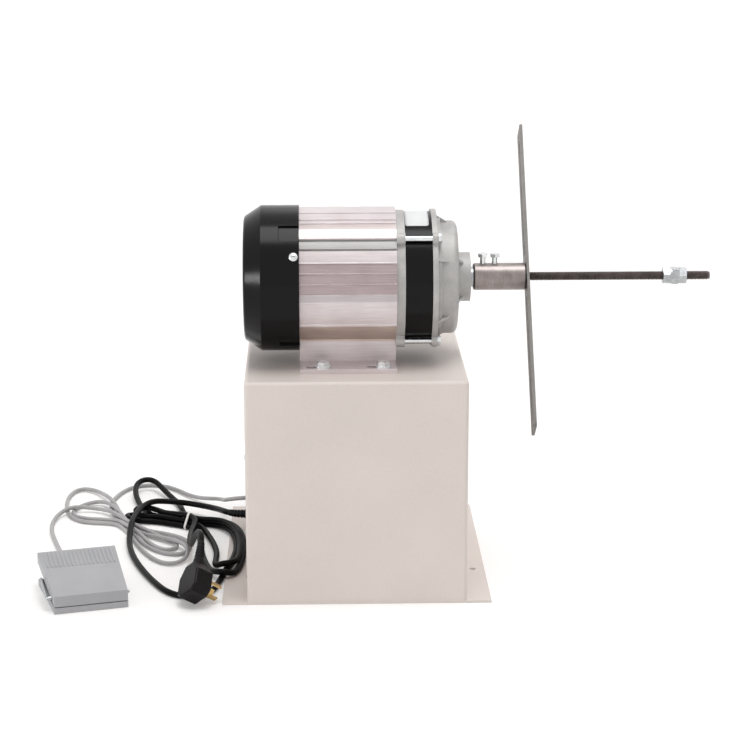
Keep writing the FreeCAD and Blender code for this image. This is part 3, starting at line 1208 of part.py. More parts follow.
LEAD_ROUTE = (
    (-286.0, 126.0, 7.0), (-296.0, 146.0, 10.0), (-308.0, 158.0, 10.0), (-322.0, 165.0, 9.0),
    (-336.0, 164.0, 7.0), (-349.0, 156.0, 7.0), (-358.0, 141.0, 4.0), (-363.0, 120.0, FLOOR_PEDAL),
    (-363.0, 92.0, FLOOR_PEDAL), (-358.0, 64.0, FLOOR_PEDAL), (-350.0, 34.0, FLOOR_PEDAL),
    (-342.0, 4.0, 3.2), (-337.0, -28.0, 5.0), (-334.0, -58.0, 8.5))
POWER_LOOPS = (
    (-190.0, 92.0, 9.0), (-180.0, 98.0, 9.0), (-166.0, 103.0, 8.5), (-151.0, 94.0, 8.5),
    (-139.0, 66.0, 8.5), (-132.0, 28.0, 8.5), (-130.5, -10.0, 8.5), (-133.0, -48.0, 8.5),
    (-141.0, -80.0, 8.5), (-152.0, -92.0, 8.5), (-163.0, -78.0, 8.0), (-172.0, -42.0, 7.0),
    (-177.0, -4.0, 6.5), (-181.0, 38.0, 6.5), (-188.0, 76.0, 8.0), (-198.0, 92.0, 8.0))
POWER_LOOPS_R = 5.5
POWER_CROSS = (
    (-184.0, 84.0, 8.0), (-174.0, 62.0, 7.5), (-164.0, 30.0, 7.5), (-155.0, -4.0, 7.5),
    (-149.0, -40.0, 8.0), (-146.0, -82.0, 8.5))
POWER_BUNDLE = (
    ((-266.0, 139.0, 5.6), (-228.0, 122.0, 5.6), (-186.0, 99.0, 7.0)),
    ((-262.0, 126.0, 5.6), (-228.0, 110.0, 5.6), (-186.0, 90.0, 7.0)))
POWER_BUNDLE_R = 5.5
POWER_BACK = (
    (-250.0, 136.0, 6.0), (-259.0, 158.0, 9.0), (-267.0, 182.0, 11.0), (-273.0, 206.0, 11.0),
    (-275.0, 228.0, 11.0), (-270.0, 245.0, 11.0), (-260.0, 252.0, 11.0), (-249.0, 247.0, 11.0),
    (-241.0, 233.0, 11.0), (-233.0, 217.0, 11.0), (-225.0, 201.0, 9.0), (-217.0, 184.0, 6.0),
    (-210.0, 164.0, 3.6), (-204.0, 142.0, 3.6), (-200.0, 116.0, 5.0))
PEDAL_FAN_A = (
    (-284.0, 118.0, 6.0), (-290.0, 160.0, FLOOR_PEDAL), (-300.0, 190.0, FLOOR_PEDAL),
    (-312.0, 218.0, FLOOR_PEDAL), (-325.0, 240.0, FLOOR_PEDAL), (-339.0, 250.0, FLOOR_PEDAL),
    (-350.0, 240.0, FLOOR_PEDAL), (-356.0, 216.0, FLOOR_PEDAL), (-357.0, 188.0, FLOOR_PEDAL),
    (-353.0, 156.0, 2.5), (-344.0, 130.0, 2.5), (-328.0, 111.0, 2.5), (-306.0, 107.0, 3.0),
    (-282.0, 102.0, 5.0))
PEDAL_FAN_B = (
    (-284.0, 122.0, 7.0), (-296.0, 158.0, 8.0), (-306.0, 184.0, 8.0), (-318.0, 193.0, 8.0),
    (-333.0, 181.0, 8.0), (-343.0, 164.0, 8.5), (-345.0, 143.0, 8.5), (-336.0, 129.0, 8.0),
    (-320.0, 125.0, 8.0), (-302.0, 121.0, 8.0), (-282.0, 108.0, 7.0))
PEDAL_WAIST = ((-292.0, 138.0, 5.5), (-277.0, 106.0, 5.5), (-262.0, 72.0, 5.5))
PEDAL_WAIST_R = 5.5
PEDAL_LOBE = (
    (-268.0, 88.0, 5.0), (-240.0, 74.0, 4.5), (-214.0, 60.0, 4.2), (-196.0, 36.0, 4.0),
    (-190.0, 4.0, 4.0), (-194.0, -28.0, 4.0), (-209.0, -46.0, 4.0), (-227.0, -36.0, 4.0),
    (-241.0, -8.0, 4.0), (-250.0, 26.0, 4.0), (-260.0, 64.0, 4.5))
PEDAL_LOBE_R = 4.0
PEDAL_INNER = ((-262.0, 72.0, 4.5), (-240.0, 44.0, 4.0), (-218.0, 20.0, 4.0), (-196.0, 2.0, 4.0))
TIE_AT = V(-196.0, 99.0, 6.9)
TIE_DIR = V(-42.0, 21.0, -0.8)
TIE_RING = (11.0, 14.6)
TIE_BAND_W = 3.0

# Plug: its axes are the pins' direction and the direction in which the cord leaves.
PLUG_AT = V(-167.0, -163.0, 18.5)
PLUG_PINS_DIR = V(0.8, 0.3, -0.52)
PLUG_SPIN = -45.0
PLUG_T = 22.0
PLUG_OUTLINE = ((21.0, -8.0), (21.0, 8.0), (8.0, 18.0), (-12.0, 18.0), (-18.0, 11.0), (-18.0, -11.0),
                (-12.0, -18.0), (8.0, -18.0))
PLUG_COLLAR_R = 6.5
PLUG_COLLAR_L = 13.0
PLUG_RISE = 24.0      # straight run of the cord above the plug
PIN_L = 17.5
PIN_SIZE = (6.3, 1.6)
PIN_PLACES = ((4.0, -7.5, 30.0), (4.0, 7.5, -30.0), (-8.0, 0.0, 90.0))


def tube(name, points, radius, report=True):
    """A round cord through points: straight runs with an arc at every corner."""
    points = [V(*p) for p in points]
    edges = []
    start = points[0]
    smallest = 1e9
    for before, corner, after in zip(points, points[1:], points[2:]):
        come = (corner - before).normalize()
        go = (after - corner).normalize()
        turn = come.getAngle(go)
        shorter = min((corner - before).Length, (after - corner).Length)
        bend_r = 0.45 * shorter / math.tan(turn / 2)
        smallest = min(smallest, bend_r)
        reach = bend_r * math.tan(turn / 2)
        first = corner - come * reach
        last = corner + go * reach
        inward = (go - come).normalize()
        middle = corner + inward * (bend_r / math.cos(turn / 2) - bend_r)
        edges.append(Part.makeLine(start, first))
        edges.append(Part.Arc(first, middle, last).toShape())
        start = last
    edges.append(Part.makeLine(start, points[-1]))
    path = Part.Wire(edges)
    section = Part.Wire(Part.makeCircle(radius, points[0], points[1] - points[0]))
    solid = path.makePipeShell([section], True, False)
    ratio = solid.Volume / (math.pi * radius ** 2 * path.Length)
    if report:
        facts = (name, path.Length, smallest, ratio)
        print("%-14s length %.1f smallest bend %.1f volume ratio %.4f" % facts)
    return solid


def plug_axes():
    pins = V(PLUG_PINS_DIR).normalize()
    upward = (Z_AXIS - pins * (Z_AXIS * pins)).normalize()
    across = pins.cross(upward)
    a = math.radians(PLUG_SPIN)
    cord_dir = upward * math.cos(a) + across * math.sin(a)
    return pins, cord_dir, pins.cross(cord_dir)


def plug_place(along, across, out):
    pins, cord_dir, side = plug_axes()
    return PLUG_AT + cord_dir * along + side * across + pins * out


def plug_entry():
    return plug_place(PLUG_OUTLINE[0][0] + PLUG_COLLAR_L, 0.0, -PLUG_T / 2)


def plug():
    pins, cord_dir, side = plug_axes()
    corners = [plug_place(u, v, -PLUG_T) for u, v in PLUG_OUTLINE]
    body = Part.Face(Part.makePolygon(corners + corners[:1])).extrude(pins * PLUG_T)
    body = body.makeFillet(2.5, body.Edges)
    collar = Part.makeCone(PLUG_COLLAR_R + 1.5, PLUG_COLLAR_R - 1.5, PLUG_COLLAR_L + 3,
                           plug_place(PLUG_OUTLINE[0][0] - 3, 0, -PLUG_T / 2), cord_dir)
    body = body.fuse(collar)
    blades = []
    for along, across, turn in PIN_PLACES:
        w, t = PIN_SIZE
        blade = Part.makeBox(w, t, PIN_L + 6, V(-w / 2, -t / 2, -6))
        blade = blade.makeFillet(t * 0.4, [e for e in blade.Edges if abs(e.BoundBox.ZMin - PIN_L) < 1e-6])
        blade.rotate(V(0, 0, 0), Z_AXIS, turn)
        matrix = FreeCAD.Matrix(cord_dir.x, side.x, pins.x, 0, cord_dir.y, side.y, pins.y, 0,
                                cord_dir.z, side.z, pins.z, 0, 0, 0, 0, 1)
        blade.Placement = FreeCAD.Placement(FreeCAD.Matrix(matrix)).multiply(blade.Placement)
        blade.translate(plug_place(along, across, 0))
        blades.append(blade)
        body = body.cut(blade)
    keep("plug", body)
    keep("plug_pins", group(blades))


def cords():
    above = plug_entry() + plug_axes()[1] * PLUG_RISE
    keep("power_cord", group([tube("power_cord", POWER_ROUTE, POWER_R),
                              tube("plug_run", PLUG_RUN + (tuple(above), tuple(plug_entry())), POWER_R)]))
    keep("pedal_cord", tube("pedal_cord", PEDAL_ROUTE, PEDAL_R))
    x, y, z = PEDAL_LEAD_AT
    near = pedal_world(x, y + 14, z - 0.5)
    end = pedal_world(x, y, z)
    keep("pedal_lead", tube("pedal_lead", LEAD_ROUTE + (tuple(near), tuple(end)), PEDAL_R))
    parts = [tube("bundle", line, POWER_BUNDLE_R, False) for line in POWER_BUNDLE]
    parts.append(tube("back loop", POWER_BACK, POWER_R))
    parts.append(tube("cross", POWER_CROSS, POWER_R))
    parts.append(box(-198, -184, 86, 102, 2.5, 12.5))
    keep("power_hank", tube("loops", POWER_LOOPS, POWER_LOOPS_R).fuse(parts))
    parts = [tube("fan a", PEDAL_FAN_A, PEDAL_R), tube("fan b", PEDAL_FAN_B, PEDAL_R),
             tube("lobe", PEDAL_LOBE, PEDAL_LOBE_R), tube("inner", PEDAL_INNER, PEDAL_LOBE_R)]
    keep("pedal_hank", tube("waist", PEDAL_WAIST, PEDAL_WAIST_R).fuse(parts))
    inner, outer = TIE_RING
    half = V(TIE_DIR).normalize() * (TIE_BAND_W / 2)
    band = cylinder(outer, TIE_AT - half, TIE_DIR, TIE_BAND_W)
    band = band.cut(cylinder(inner, TIE_AT - half, TIE_DIR, TIE_BAND_W))
    keep("cord_ties", band.cut(box(-400, 0, -300, 300, -50, 0)))


# ---- Build and write -----------------------------------------------------------------
def build():
    base_plate()
    case_shell()
    control_panel()
    case_screws()
    gland("power_gland", POWER_GLAND_Z, POWER_CORD_R)
    gland("pedal_gland", PEDAL_GLAND_Z, PEDAL_CORD_R)
    counter()
    speed_control()
    direction_switch()
    power_switch()
    motor_driver()
    motor_lead()
    motor_body()
    foot_bolts()
    end_cover()
    cover_screws()
    rear_bracket()
    front_bracket()
    stator()
    rotor()
    cooling_fan()
    ring_gear_case()
    planet_gears()
    planet_carrier()
    gearbox_cover()
    tie_bolts()
    output_shaft()
    coupling_sleeve()
    clamp_screws()
    faceplate_bar()
    winding_rod()
    clamp_nuts()
    pedal_base()
    pedal_plate()
    pedal_pin()
    pedal_spring()
    pedal_switch()
    plug()
    cords()


def write():
    folder = os.path.join(os.path.dirname(os.path.abspath(__file__)), "parts")
    os.makedirs(folder, exist_ok=True)
    for name, shape in NODES.items():
        b = shape.optimalBoundingBox(False)
        line = "%-22s valid=%s solids=%d volume=%.2f box=(%.2f %.2f %.2f)-(%.2f %.2f %.2f)"
        values = (name, shape.isValid(), len(shape.Solids), shape.Volume)
        print(line % (values + (b.XMin, b.YMin, b.ZMin, b.XMax, b.YMax, b.ZMax)))
        shape.exportStep(os.path.join(folder, name + ".step"))
    print("%d nodes" % len(NODES))


build()
write()
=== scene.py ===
"""Bench coil winding machine: finishes, fasteners, thread, markings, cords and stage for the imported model."""

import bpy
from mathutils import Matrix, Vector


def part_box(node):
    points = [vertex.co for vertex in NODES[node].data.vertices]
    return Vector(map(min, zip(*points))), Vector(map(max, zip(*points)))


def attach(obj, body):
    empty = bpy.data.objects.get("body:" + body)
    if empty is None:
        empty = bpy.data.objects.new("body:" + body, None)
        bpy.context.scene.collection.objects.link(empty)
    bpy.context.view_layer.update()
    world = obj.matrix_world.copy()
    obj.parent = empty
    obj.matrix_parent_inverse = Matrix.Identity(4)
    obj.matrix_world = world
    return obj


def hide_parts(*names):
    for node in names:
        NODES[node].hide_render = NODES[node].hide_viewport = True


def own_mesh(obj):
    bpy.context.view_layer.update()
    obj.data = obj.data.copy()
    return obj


bl_info = {
    "name": "Wire coil winding machine",
    "version": (1, 0, 0),
    "blender": (4, 5, 0),
    "location": "3D View > Sidebar > Winder",
    "description": "Finishes, fasteners, thread, markings, cords and stage of a bench coil winder",
    "category": "Object",
}

import math

import bmesh
import bpy
import numpy as np
from mathutils import Matrix, Vector
from mathutils.geometry import convex_hull_2d

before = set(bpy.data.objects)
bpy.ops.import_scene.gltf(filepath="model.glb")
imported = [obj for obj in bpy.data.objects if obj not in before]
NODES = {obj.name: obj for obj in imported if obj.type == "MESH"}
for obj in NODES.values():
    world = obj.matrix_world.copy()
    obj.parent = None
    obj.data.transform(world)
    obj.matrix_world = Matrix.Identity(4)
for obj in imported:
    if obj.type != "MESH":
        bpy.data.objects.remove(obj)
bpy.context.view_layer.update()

MM = 0.001
UP = Vector((0.0, 0.0, 1.0))


def corners(node):
    """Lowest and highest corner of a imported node, in millimetres."""
    return [[round(value / MM, 3) for value in corner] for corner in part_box(node)]


RING_LOW, RING_HIGH = corners("ring_gear_case")
AXIS_Y = (RING_LOW[1] + RING_HIGH[1]) / 2
AXIS_Z = (RING_LOW[2] + RING_HIGH[2]) / 2
RING_R = (RING_HIGH[2] - RING_LOW[2]) / 2
BARREL_R = 84.0     # holds the motor housing's barrel, but not its feet
CASE_LOW, CASE_HIGH = corners("case_shell")
CASE_SIDE_X = CASE_HIGH[0]
PANEL_BACK_Y, PANEL_FACE_Y = (corner[1] for corner in corners("control_panel"))
KNOB_X, KNOB_Z = -62.0, 98.0
SHEET_T = 2.0
PLATE_EDGE_X = corners("base_plate")[0][0]
PLATE_T = CASE_LOW[2]
FINISHES = {}


# ---- Small helpers -------------------------------------------------------------------
def paint(code):
    """Linear colour of an sRGB hex value."""
    channels = [int(code[i:i + 2], 16) / 255 for i in (1, 3, 5)]
    return tuple(c / 12.92 if c <= 0.04045 else ((c + 0.055) / 1.055) ** 2.4 for c in channels) + (1.0,)


def put(tree, kind, feeds=None, **settings):
    """Adds one node; feeds gives its inputs a value, a socket or a node's first output, by name or place."""
    made = tree.nodes.new(kind)
    for name, value in settings.items():
        setattr(made, name, value)
    for key, value in (feeds or {}).items():
        for source in value if isinstance(value, list) else [value]:
            if isinstance(source, bpy.types.Node):
                source = source.outputs[0]
            if isinstance(source, bpy.types.NodeSocket):
                tree.links.new(source, made.inputs[key])
            else:
                made.inputs[key].default_value = source
    return made


def linked(name, data):
    """A new object in the scene."""
    made = bpy.data.objects.new(name, data)
    bpy.context.scene.collection.objects.link(made)
    return made


def object_of(name, data, body=None, slot=None, finish=None, replaces=False):
    """Links a finished piece, gives it its finish and sets it on its body, if asked in its node's place."""
    made = linked(name, data)
    if finish:
        data.materials.clear()
        data.materials.append(FINISHES[finish])
    if body:
        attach(made, body)
    if replaces:
        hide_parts(slot)
    return made


def plain_copy(carrier):
    """The mesh that an object's modifiers, curve or text come to."""
    graph = bpy.context.evaluated_depsgraph_get()
    return bpy.data.meshes.new_from_object(carrier.evaluated_get(graph), depsgraph=graph)


def mesh_of(name, points, faces, smooth=False):
    """A closed mesh from points in millimetres."""
    mesh = bpy.data.meshes.new(name)
    mesh.from_pydata([Vector(p) * MM for p in points], [], faces)
    solid = bmesh.new()
    solid.from_mesh(mesh)
    bmesh.ops.recalc_face_normals(solid, faces=solid.faces)
    solid.to_mesh(mesh)
    solid.free()
    mesh.polygons.foreach_set("use_smooth", [smooth] * len(mesh.polygons))
    return mesh


def swept(name, rings, smooth, endless=False):
    """A closed mesh through rings of as many points each; its ends are capped, or meet if it is endless."""
    sides, count = len(rings[0]), len(rings)
    faces = []
    for i in range(count if endless else count - 1):
        here, there = i * sides, (i + 1) % count * sides
        for k in range(sides):
            n = (k + 1) % sides
            faces.append((here + k, here + n, there + n, there + k))
    if not endless:
        faces += [tuple(range(sides)), tuple(range((count - 1) * sides, count * sides))]
    return mesh_of(name, [point for ring in rings for point in ring], faces, smooth)


def joined(name, meshes):
    """One mesh of several."""
    whole = bmesh.new()
    for mesh in meshes:
        whole.from_mesh(mesh)
        bpy.data.meshes.remove(mesh)
    result = bpy.data.meshes.new(name)
    whole.to_mesh(result)
    whole.free()
    return result


def rays(count):
    """Unit vectors at even angles, all round."""
    return [Vector((math.cos(math.tau * k / count), math.sin(math.tau * k / count))) for k in range(count)]


def outward(degrees):
    """The way out from the spindle; zero is upwards."""
    a = math.radians(degrees)
    return Vector((0.0, -math.sin(a), math.cos(a)))


def polar(x, radius, degrees):
    """A point round the spindle; zero is upwards."""
    a = math.radians(degrees)
    return Vector((x, AXIS_Y - radius * math.sin(a), AXIS_Z + radius * math.cos(a)))


# ---- Finishes ------------------------------------------------------------------------
MATH, MIX, RANGE = "ShaderNodeMath", "ShaderNodeMix", "ShaderNodeMapRange"
NOISE_LOW, NOISE_HIGH = 0.3, 0.7      # most of a noise texture's values lie between these
WORN_FROM, WORN_TO = 0.98, 0.80       # how far a rounded edge turns from its face before and when its wear and painted highlight are full
WAVE_UNIT = math.tau / 20             # a wave texture's bands are this far apart at a scale of one


def empty_material(name):
    """A material with no nodes yet, and its tree."""
    material = bpy.data.materials.new(name)
    material.use_nodes = True
    material.node_tree.nodes.clear()
    return material, material.node_tree


def finish(name, pale, dark, blotch=30.0, rough=(0.4, 0.5), grain=0.5, depth=0.01, along=None,
           edge=None, edge_r=0.8, bands=None, zones=(), **surface):
    """A finish: slow drift between two colours, a fine grain and, if asked, edges lightened by wear and by a
    painted highlight.

    blotch, grain, depth and edge_r are in millimetres. along stretches the grain, as drawing or turning
    does. bands is (axis, pitch, depth, colour) of stacked sheets or wound turns. zones are (first angle,
    last angle, tint) strips of painted shade and painted reflection along the motor housing's barrel, in
    degrees from its top.
    """
    material, tree = empty_material(name)
    place = put(tree, "ShaderNodeTexCoord").outputs["Object"]
    laid = put(tree, "ShaderNodeMapping", {"Vector": place, "Scale": along}) if along else place
    drift = put(tree, "ShaderNodeTexNoise", {"Vector": place, "Scale": 1000 / blotch, "Detail": 4.0})
    fine = put(tree, "ShaderNodeTexNoise", {"Vector": laid, "Scale": 1000 / grain, "Detail": 3.0})
    spread = put(tree, RANGE, {"Value": drift, "From Min": NOISE_LOW, "From Max": NOISE_HIGH})
    speck = put(tree, RANGE, {"Value": fine, "From Min": NOISE_LOW, "From Max": NOISE_HIGH})
    both = put(tree, MATH, {0: spread, 1: speck}, operation="ADD")
    half = put(tree, MATH, {0: both, 1: 0.5}, operation="MULTIPLY")
    colour = put(tree, MIX, {0: half, 6: paint(dark), 7: paint(pale)}, data_type="RGBA").outputs[2]
    height = speck
    # Painted shade and painted reflection: strips of the barrel, by angle from its top, are multiplied darker.
    if zones:
        part = put(tree, "ShaderNodeSeparateXYZ", {0: place})
        aside = put(tree, MATH, {0: part.outputs["Y"], 1: AXIS_Y * MM}, operation="SUBTRACT")
        aside = put(tree, MATH, {0: aside}, operation="ABSOLUTE")
        above = put(tree, MATH, {0: part.outputs["Z"], 1: AXIS_Z * MM}, operation="SUBTRACT")
        angle = put(tree, MATH, {0: aside, 1: above}, operation="ARCTAN2")
        across = put(tree, "ShaderNodeCombineXYZ", {"Y": aside, "Z": above})
        radius = put(tree, "ShaderNodeVectorMath", {0: across}, operation="LENGTH").outputs["Value"]
        barrel = put(tree, MATH, {0: radius, 1: BARREL_R * MM}, operation="LESS_THAN")
        for first, last, tint in zones:
            inside = put(tree, MATH, {0: angle, 1: math.radians((first + last) / 2),
                                      2: math.radians((last - first) / 2)}, operation="COMPARE")
            inside = put(tree, MATH, {0: inside, 1: barrel}, operation="MULTIPLY")
            colour = put(tree, MIX, {0: inside, 6: colour, 7: paint(tint)},
                         data_type="RGBA", blend_type="MULTIPLY").outputs[2]
    if bands:
        axis, pitch, band_depth, band_colour = bands
        wave = put(tree, "ShaderNodeTexWave", {"Vector": place, "Scale": 1000 / pitch * WAVE_UNIT,
                                               "Distortion": 0.0}, bands_direction=axis).outputs["Fac"]
        colour = put(tree, MIX, {0: wave, 6: paint(band_colour), 7: colour}, data_type="RGBA").outputs[2]
        height = put(tree, MATH, {0: wave, 1: band_depth / depth, 2: height}, operation="MULTIPLY_ADD")
    relief = {"Height": height, "Distance": depth * MM, "Strength": 1.0}
    if edge:
        # Rounded edges take the edge colour: partly wear, partly a painted highlight.
        rounded = put(tree, "ShaderNodeBevel", {"Radius": edge_r * MM}, samples=4)
        facing = put(tree, "ShaderNodeNewGeometry").outputs["Normal"]
        same = put(tree, "ShaderNodeVectorMath", {0: rounded, 1: facing}, operation="DOT_PRODUCT")
        worn = put(tree, RANGE, {"Value": same.outputs["Value"], "From Min": WORN_FROM, "From Max": WORN_TO})
        patchy = put(tree, MATH, {0: worn, 1: speck}, operation="MULTIPLY")
        colour = put(tree, MIX, {0: patchy, 6: colour, 7: paint(edge)}, data_type="RGBA").outputs[2]
        relief["Normal"] = rounded
    bump = put(tree, "ShaderNodeBump", relief)
    gloss = put(tree, RANGE, {"Value": half, "To Min": rough[0], "To Max": rough[1]})
    shader = put(tree, "ShaderNodeBsdfPrincipled",
                 {"Base Color": colour, "Roughness": gloss, "Normal": bump, **surface})
    put(tree, "ShaderNodeOutputMaterial", {"Surface": shader})
    FINISHES[name] = material


LENGTHWISE = (0.03, 1.0, 1.0)      # drawn or extruded along the spindle
ROUND = (1.0, 0.03, 0.03)          # turned: fine rings round the spindle


def make_finishes(colours):
    """All finishes; the colours that a user may change come from the panel."""
    # Each edge colour lightens the rounded edges: partly wear, partly a painted highlight.
    # Powder coat, sprayed and baked: even, low sheen, a faint orange peel that breaks up the highlights.
    finish("warm_grey_powder_coat", colours.case, "#D8CEC8", 90, (0.42, 0.52), 1.2, 0.03, edge="#E6DED9")
    # Gloss enamel on spun steel: deep black, sharp reflections, rims lightened by rubbing and by a painted
    # reflection.
    finish("gloss_black_enamel", "#0D0C0E", "#060506", 60, (0.15, 0.21), 3.0, 0.01, edge="#262425",
           **{"Specular IOR Level": 0.17})
    # Extruded aluminium, etched: satin, with faint die lines along its length and a warm cast. Its strips of
    # painted shade darken the barrel's facets and recesses, and a warm painted reflection of the case browns
    # its underside.
    finish("etched_aluminium_extrusion", colours.motor, "#C5BABB", 45, (0.36, 0.44), 0.9, 0.010, LENGTHWISE,
           edge="#F6F3F2", edge_r=0.5, Metallic=0.5,
           zones=((28.6, 36.7, "#D8D5D2"), (46.5, 56.5, "#C4CBC8"), (67.5, 92.2, "#D3C9CB"),
                  (92.9, 98.5, "#E4E6E6"), (122.0, 149.0, "#EADFD0")))
    # Die-cast aluminium, shot-blasted: pale grey, fine even pitting, no direction.
    finish("die_cast_aluminium", "#C4C2C0", "#9F9D9B", 14, (0.48, 0.62), 0.8, 0.03, edge="#ECEBEA",
           Metallic=0.5)
    # Bright zinc plate, new: blue-white, glossy, slightly cloudy.
    finish("bright_zinc_plate", "#F0F2F2", "#C2C5C7", 6, (0.18, 0.30), 0.4, 0.006, edge="#FFFFFF",
           edge_r=0.3, Metallic=1.0)
    # Zinc plate with painted shade: the same blue-grey as the bright zinc, painted darker, and less glossy.
    finish("handled_zinc_plate", "#C9CBCC", "#8F9294", 6, (0.24, 0.36), 0.4, 0.006, edge="#FFFFFF",
           edge_r=0.3, Metallic=1.0)
    # Turned steel, bare and lightly oiled: warm grey rings that stretch the highlight into a band.
    finish("turned_bare_steel", "#A79E9B", "#766D6B", 12, (0.30, 0.42), 0.5, 0.012, ROUND, edge="#D8D3D0",
           Metallic=0.85)
    # Hot-rolled strip, pickled: flat grey with broad dull clouds, edges brighter from shearing and from a
    # painted highlight.
    finish("pickled_steel_strip", "#85827F", "#625F5C", 22, (0.40, 0.56), 0.9, 0.02, edge="#D5D3D2",
           Metallic=0.7)
    # Blackened rolled thread: dark brown-grey flanks, crests paler from the nuts' polishing and from a painted
    # highlight.
    finish("blackened_thread_steel", "#7A706D", "#453E3C", 8, (0.32, 0.46), 0.5, 0.006, edge="#A8A09D",
           edge_r=0.2, Metallic=0.8)
    # Ground gear steel: clean, cool and fairly bright, with fine lay.
    finish("ground_gear_steel", "#B9BABC", "#8E9093", 9, (0.24, 0.34), 0.4, 0.008, ROUND, edge="#DFE0E1",
           Metallic=1.0)
    # Bearing steel, honed: mirror-like with the faintest haze.
    finish("honed_bearing_steel", "#D2D4D6", "#B2B5B8", 10, (0.12, 0.20), 0.4, 0.003, ROUND, Metallic=1.0)
    # Nitrile rubber, moulded: near black, dull, fine bloom.
    finish("moulded_nitrile", "#1D1B1A", "#121110", 8, (0.62, 0.74), 0.5, 0.02, IOR=1.52)
    # Electrical steel laminations, stacked: 0.5 mm sheets drawn at 1.5 mm so that the lines show.
    finish("laminated_steel", "#77767A", "#58575B", 12, (0.45, 0.6), 0.6, 0.01, Metallic=0.8,
           bands=("X", 1.5, 0.08, "#3C3B3F"))
    # Enamelled copper wire, varnished and laid in turns 1.2 mm apart: a copper brown with dark furrows.
    finish("varnished_copper", "#B4622C", "#8A4118", 8, (0.25, 0.4), 0.5, 0.01, Metallic=0.7,
           bands=("X", 1.2, 0.15, "#552408"))
    # Glass-filled nylon: black with a grey speckle from the fibres.
    finish("glass_filled_nylon", "#26262A", "#18181B", 5, (0.48, 0.6), 0.5, 0.02, IOR=1.53)
    # Grey enamel over a pressed cover: cool, semi-matt, fine stipple.
    finish("stippled_grey_enamel", colours.pedal, "#A2A2A5", 40, (0.40, 0.50), 0.7, 0.03, edge="#CFCFD1")
    # Phenolic and ABS control mouldings: black, fine spark texture.
    finish("black_moulding", "#222225", "#161618", 15, (0.38, 0.5), 0.4, 0.015, edge="#3B3B3F", IOR=1.54)
    # Gloss black knob: smoother than the mouldings round it.
    finish("gloss_black_knob", "#1B1B1D", "#101012", 15, (0.16, 0.24), 0.5, 0.006, edge="#39393D", IOR=1.54)
    # Tinted acrylic: dark red, polished, partly clear.
    finish("tinted_red_acrylic", "#5A0E0C", "#3D0706", 20, (0.04, 0.07), 2.0, 0.002, IOR=1.49,
           **{"Transmission Weight": 0.35})
    # Lit display segments: a clean red that carries its own light.
    finish("lit_red_segments", "#FF4632", "#F2301E", 6, (0.3, 0.4), 0.5, 0.004,
           **{"Emission Color": paint("#FF3A26"), "Emission Strength": 0.8})
    # Red moulded key: saturated, satin.
    finish("red_moulded_key", "#C0241A", "#A11810", 8, (0.32, 0.42), 0.4, 0.01, IOR=1.5)
    # Bright nickel plate on the lever: clear reflections.
    finish("nickel_plate", "#DAD8D2", "#BDBAB3", 6, (0.08, 0.15), 0.4, 0.002, Metallic=1.0)
    # Extruded heat-sink aluminium, unpainted: bright, with long fine lines.
    finish("mill_aluminium", "#BFC1C4", "#9EA0A4", 10, (0.34, 0.46), 0.5, 0.01, (1.0, 0.03, 1.0),
           Metallic=0.9)
    # Flexible PVC sheath: black with a soft lengthways shine and handling dust.
    finish("black_pvc_sheath", colours.mains_cord, "#060606", 25, (0.34, 0.46), 1.0, 0.01,
           **{"Specular IOR Level": 0.09})
    # Grey PVC sheath: paler, a little more matt.
    finish("grey_pvc_sheath", colours.pedal_cord, "#9A9899", 25, (0.42, 0.54), 1.0, 0.02, IOR=1.53)
    # Moulded PVC plug: dark warm grey-black, satin skin with corners lightened by rubbing and by a painted
    # highlight.
    finish("black_pvc_plug", "#151113", "#0A0809", 12, (0.32, 0.44), 0.6, 0.02, edge="#51484C",
           **{"Specular IOR Level": 0.15})
    # Rolled brass, nickel-washed and worn: soft yellow, edges brightened by wear and by a painted highlight.
    finish("rolled_brass", "#D9BE86", "#B3935A", 5, (0.22, 0.34), 0.4, 0.006, edge="#F2E2BE", edge_r=0.2,
           Metallic=1.0)
    # Paper-skinned wire tie: white, matt, slightly creased.
    finish("white_paper_tie", "#F8F7F4", "#EAE8E3", 3, (0.6, 0.75), 0.5, 0.01)
    # Plain white film label, unprinted: smooth with a soft sheen.
    finish("blank_white_label", "#EEEFEF", "#DEDFE0", 12, (0.3, 0.38), 1.0, 0.004)
    # Spring steel, oil blued: dark grey with a glossy line along the wire.
    finish("oil_blued_spring_steel", "#6C6C70", "#454549", 4, (0.26, 0.38), 0.4, 0.006, Metallic=0.95)
    # Screen-printing ink on the panel: near black, matt.
    finish("panel_ink", "#2E2C2C", "#242222", 5, (0.55, 0.65), 0.4, 0.004)
    # White filled mark on a dark control: clean, matt, a little proud.
    finish("white_filled_mark", "#ECEBE8", "#DAD8D4", 5, (0.45, 0.55), 0.4, 0.004)


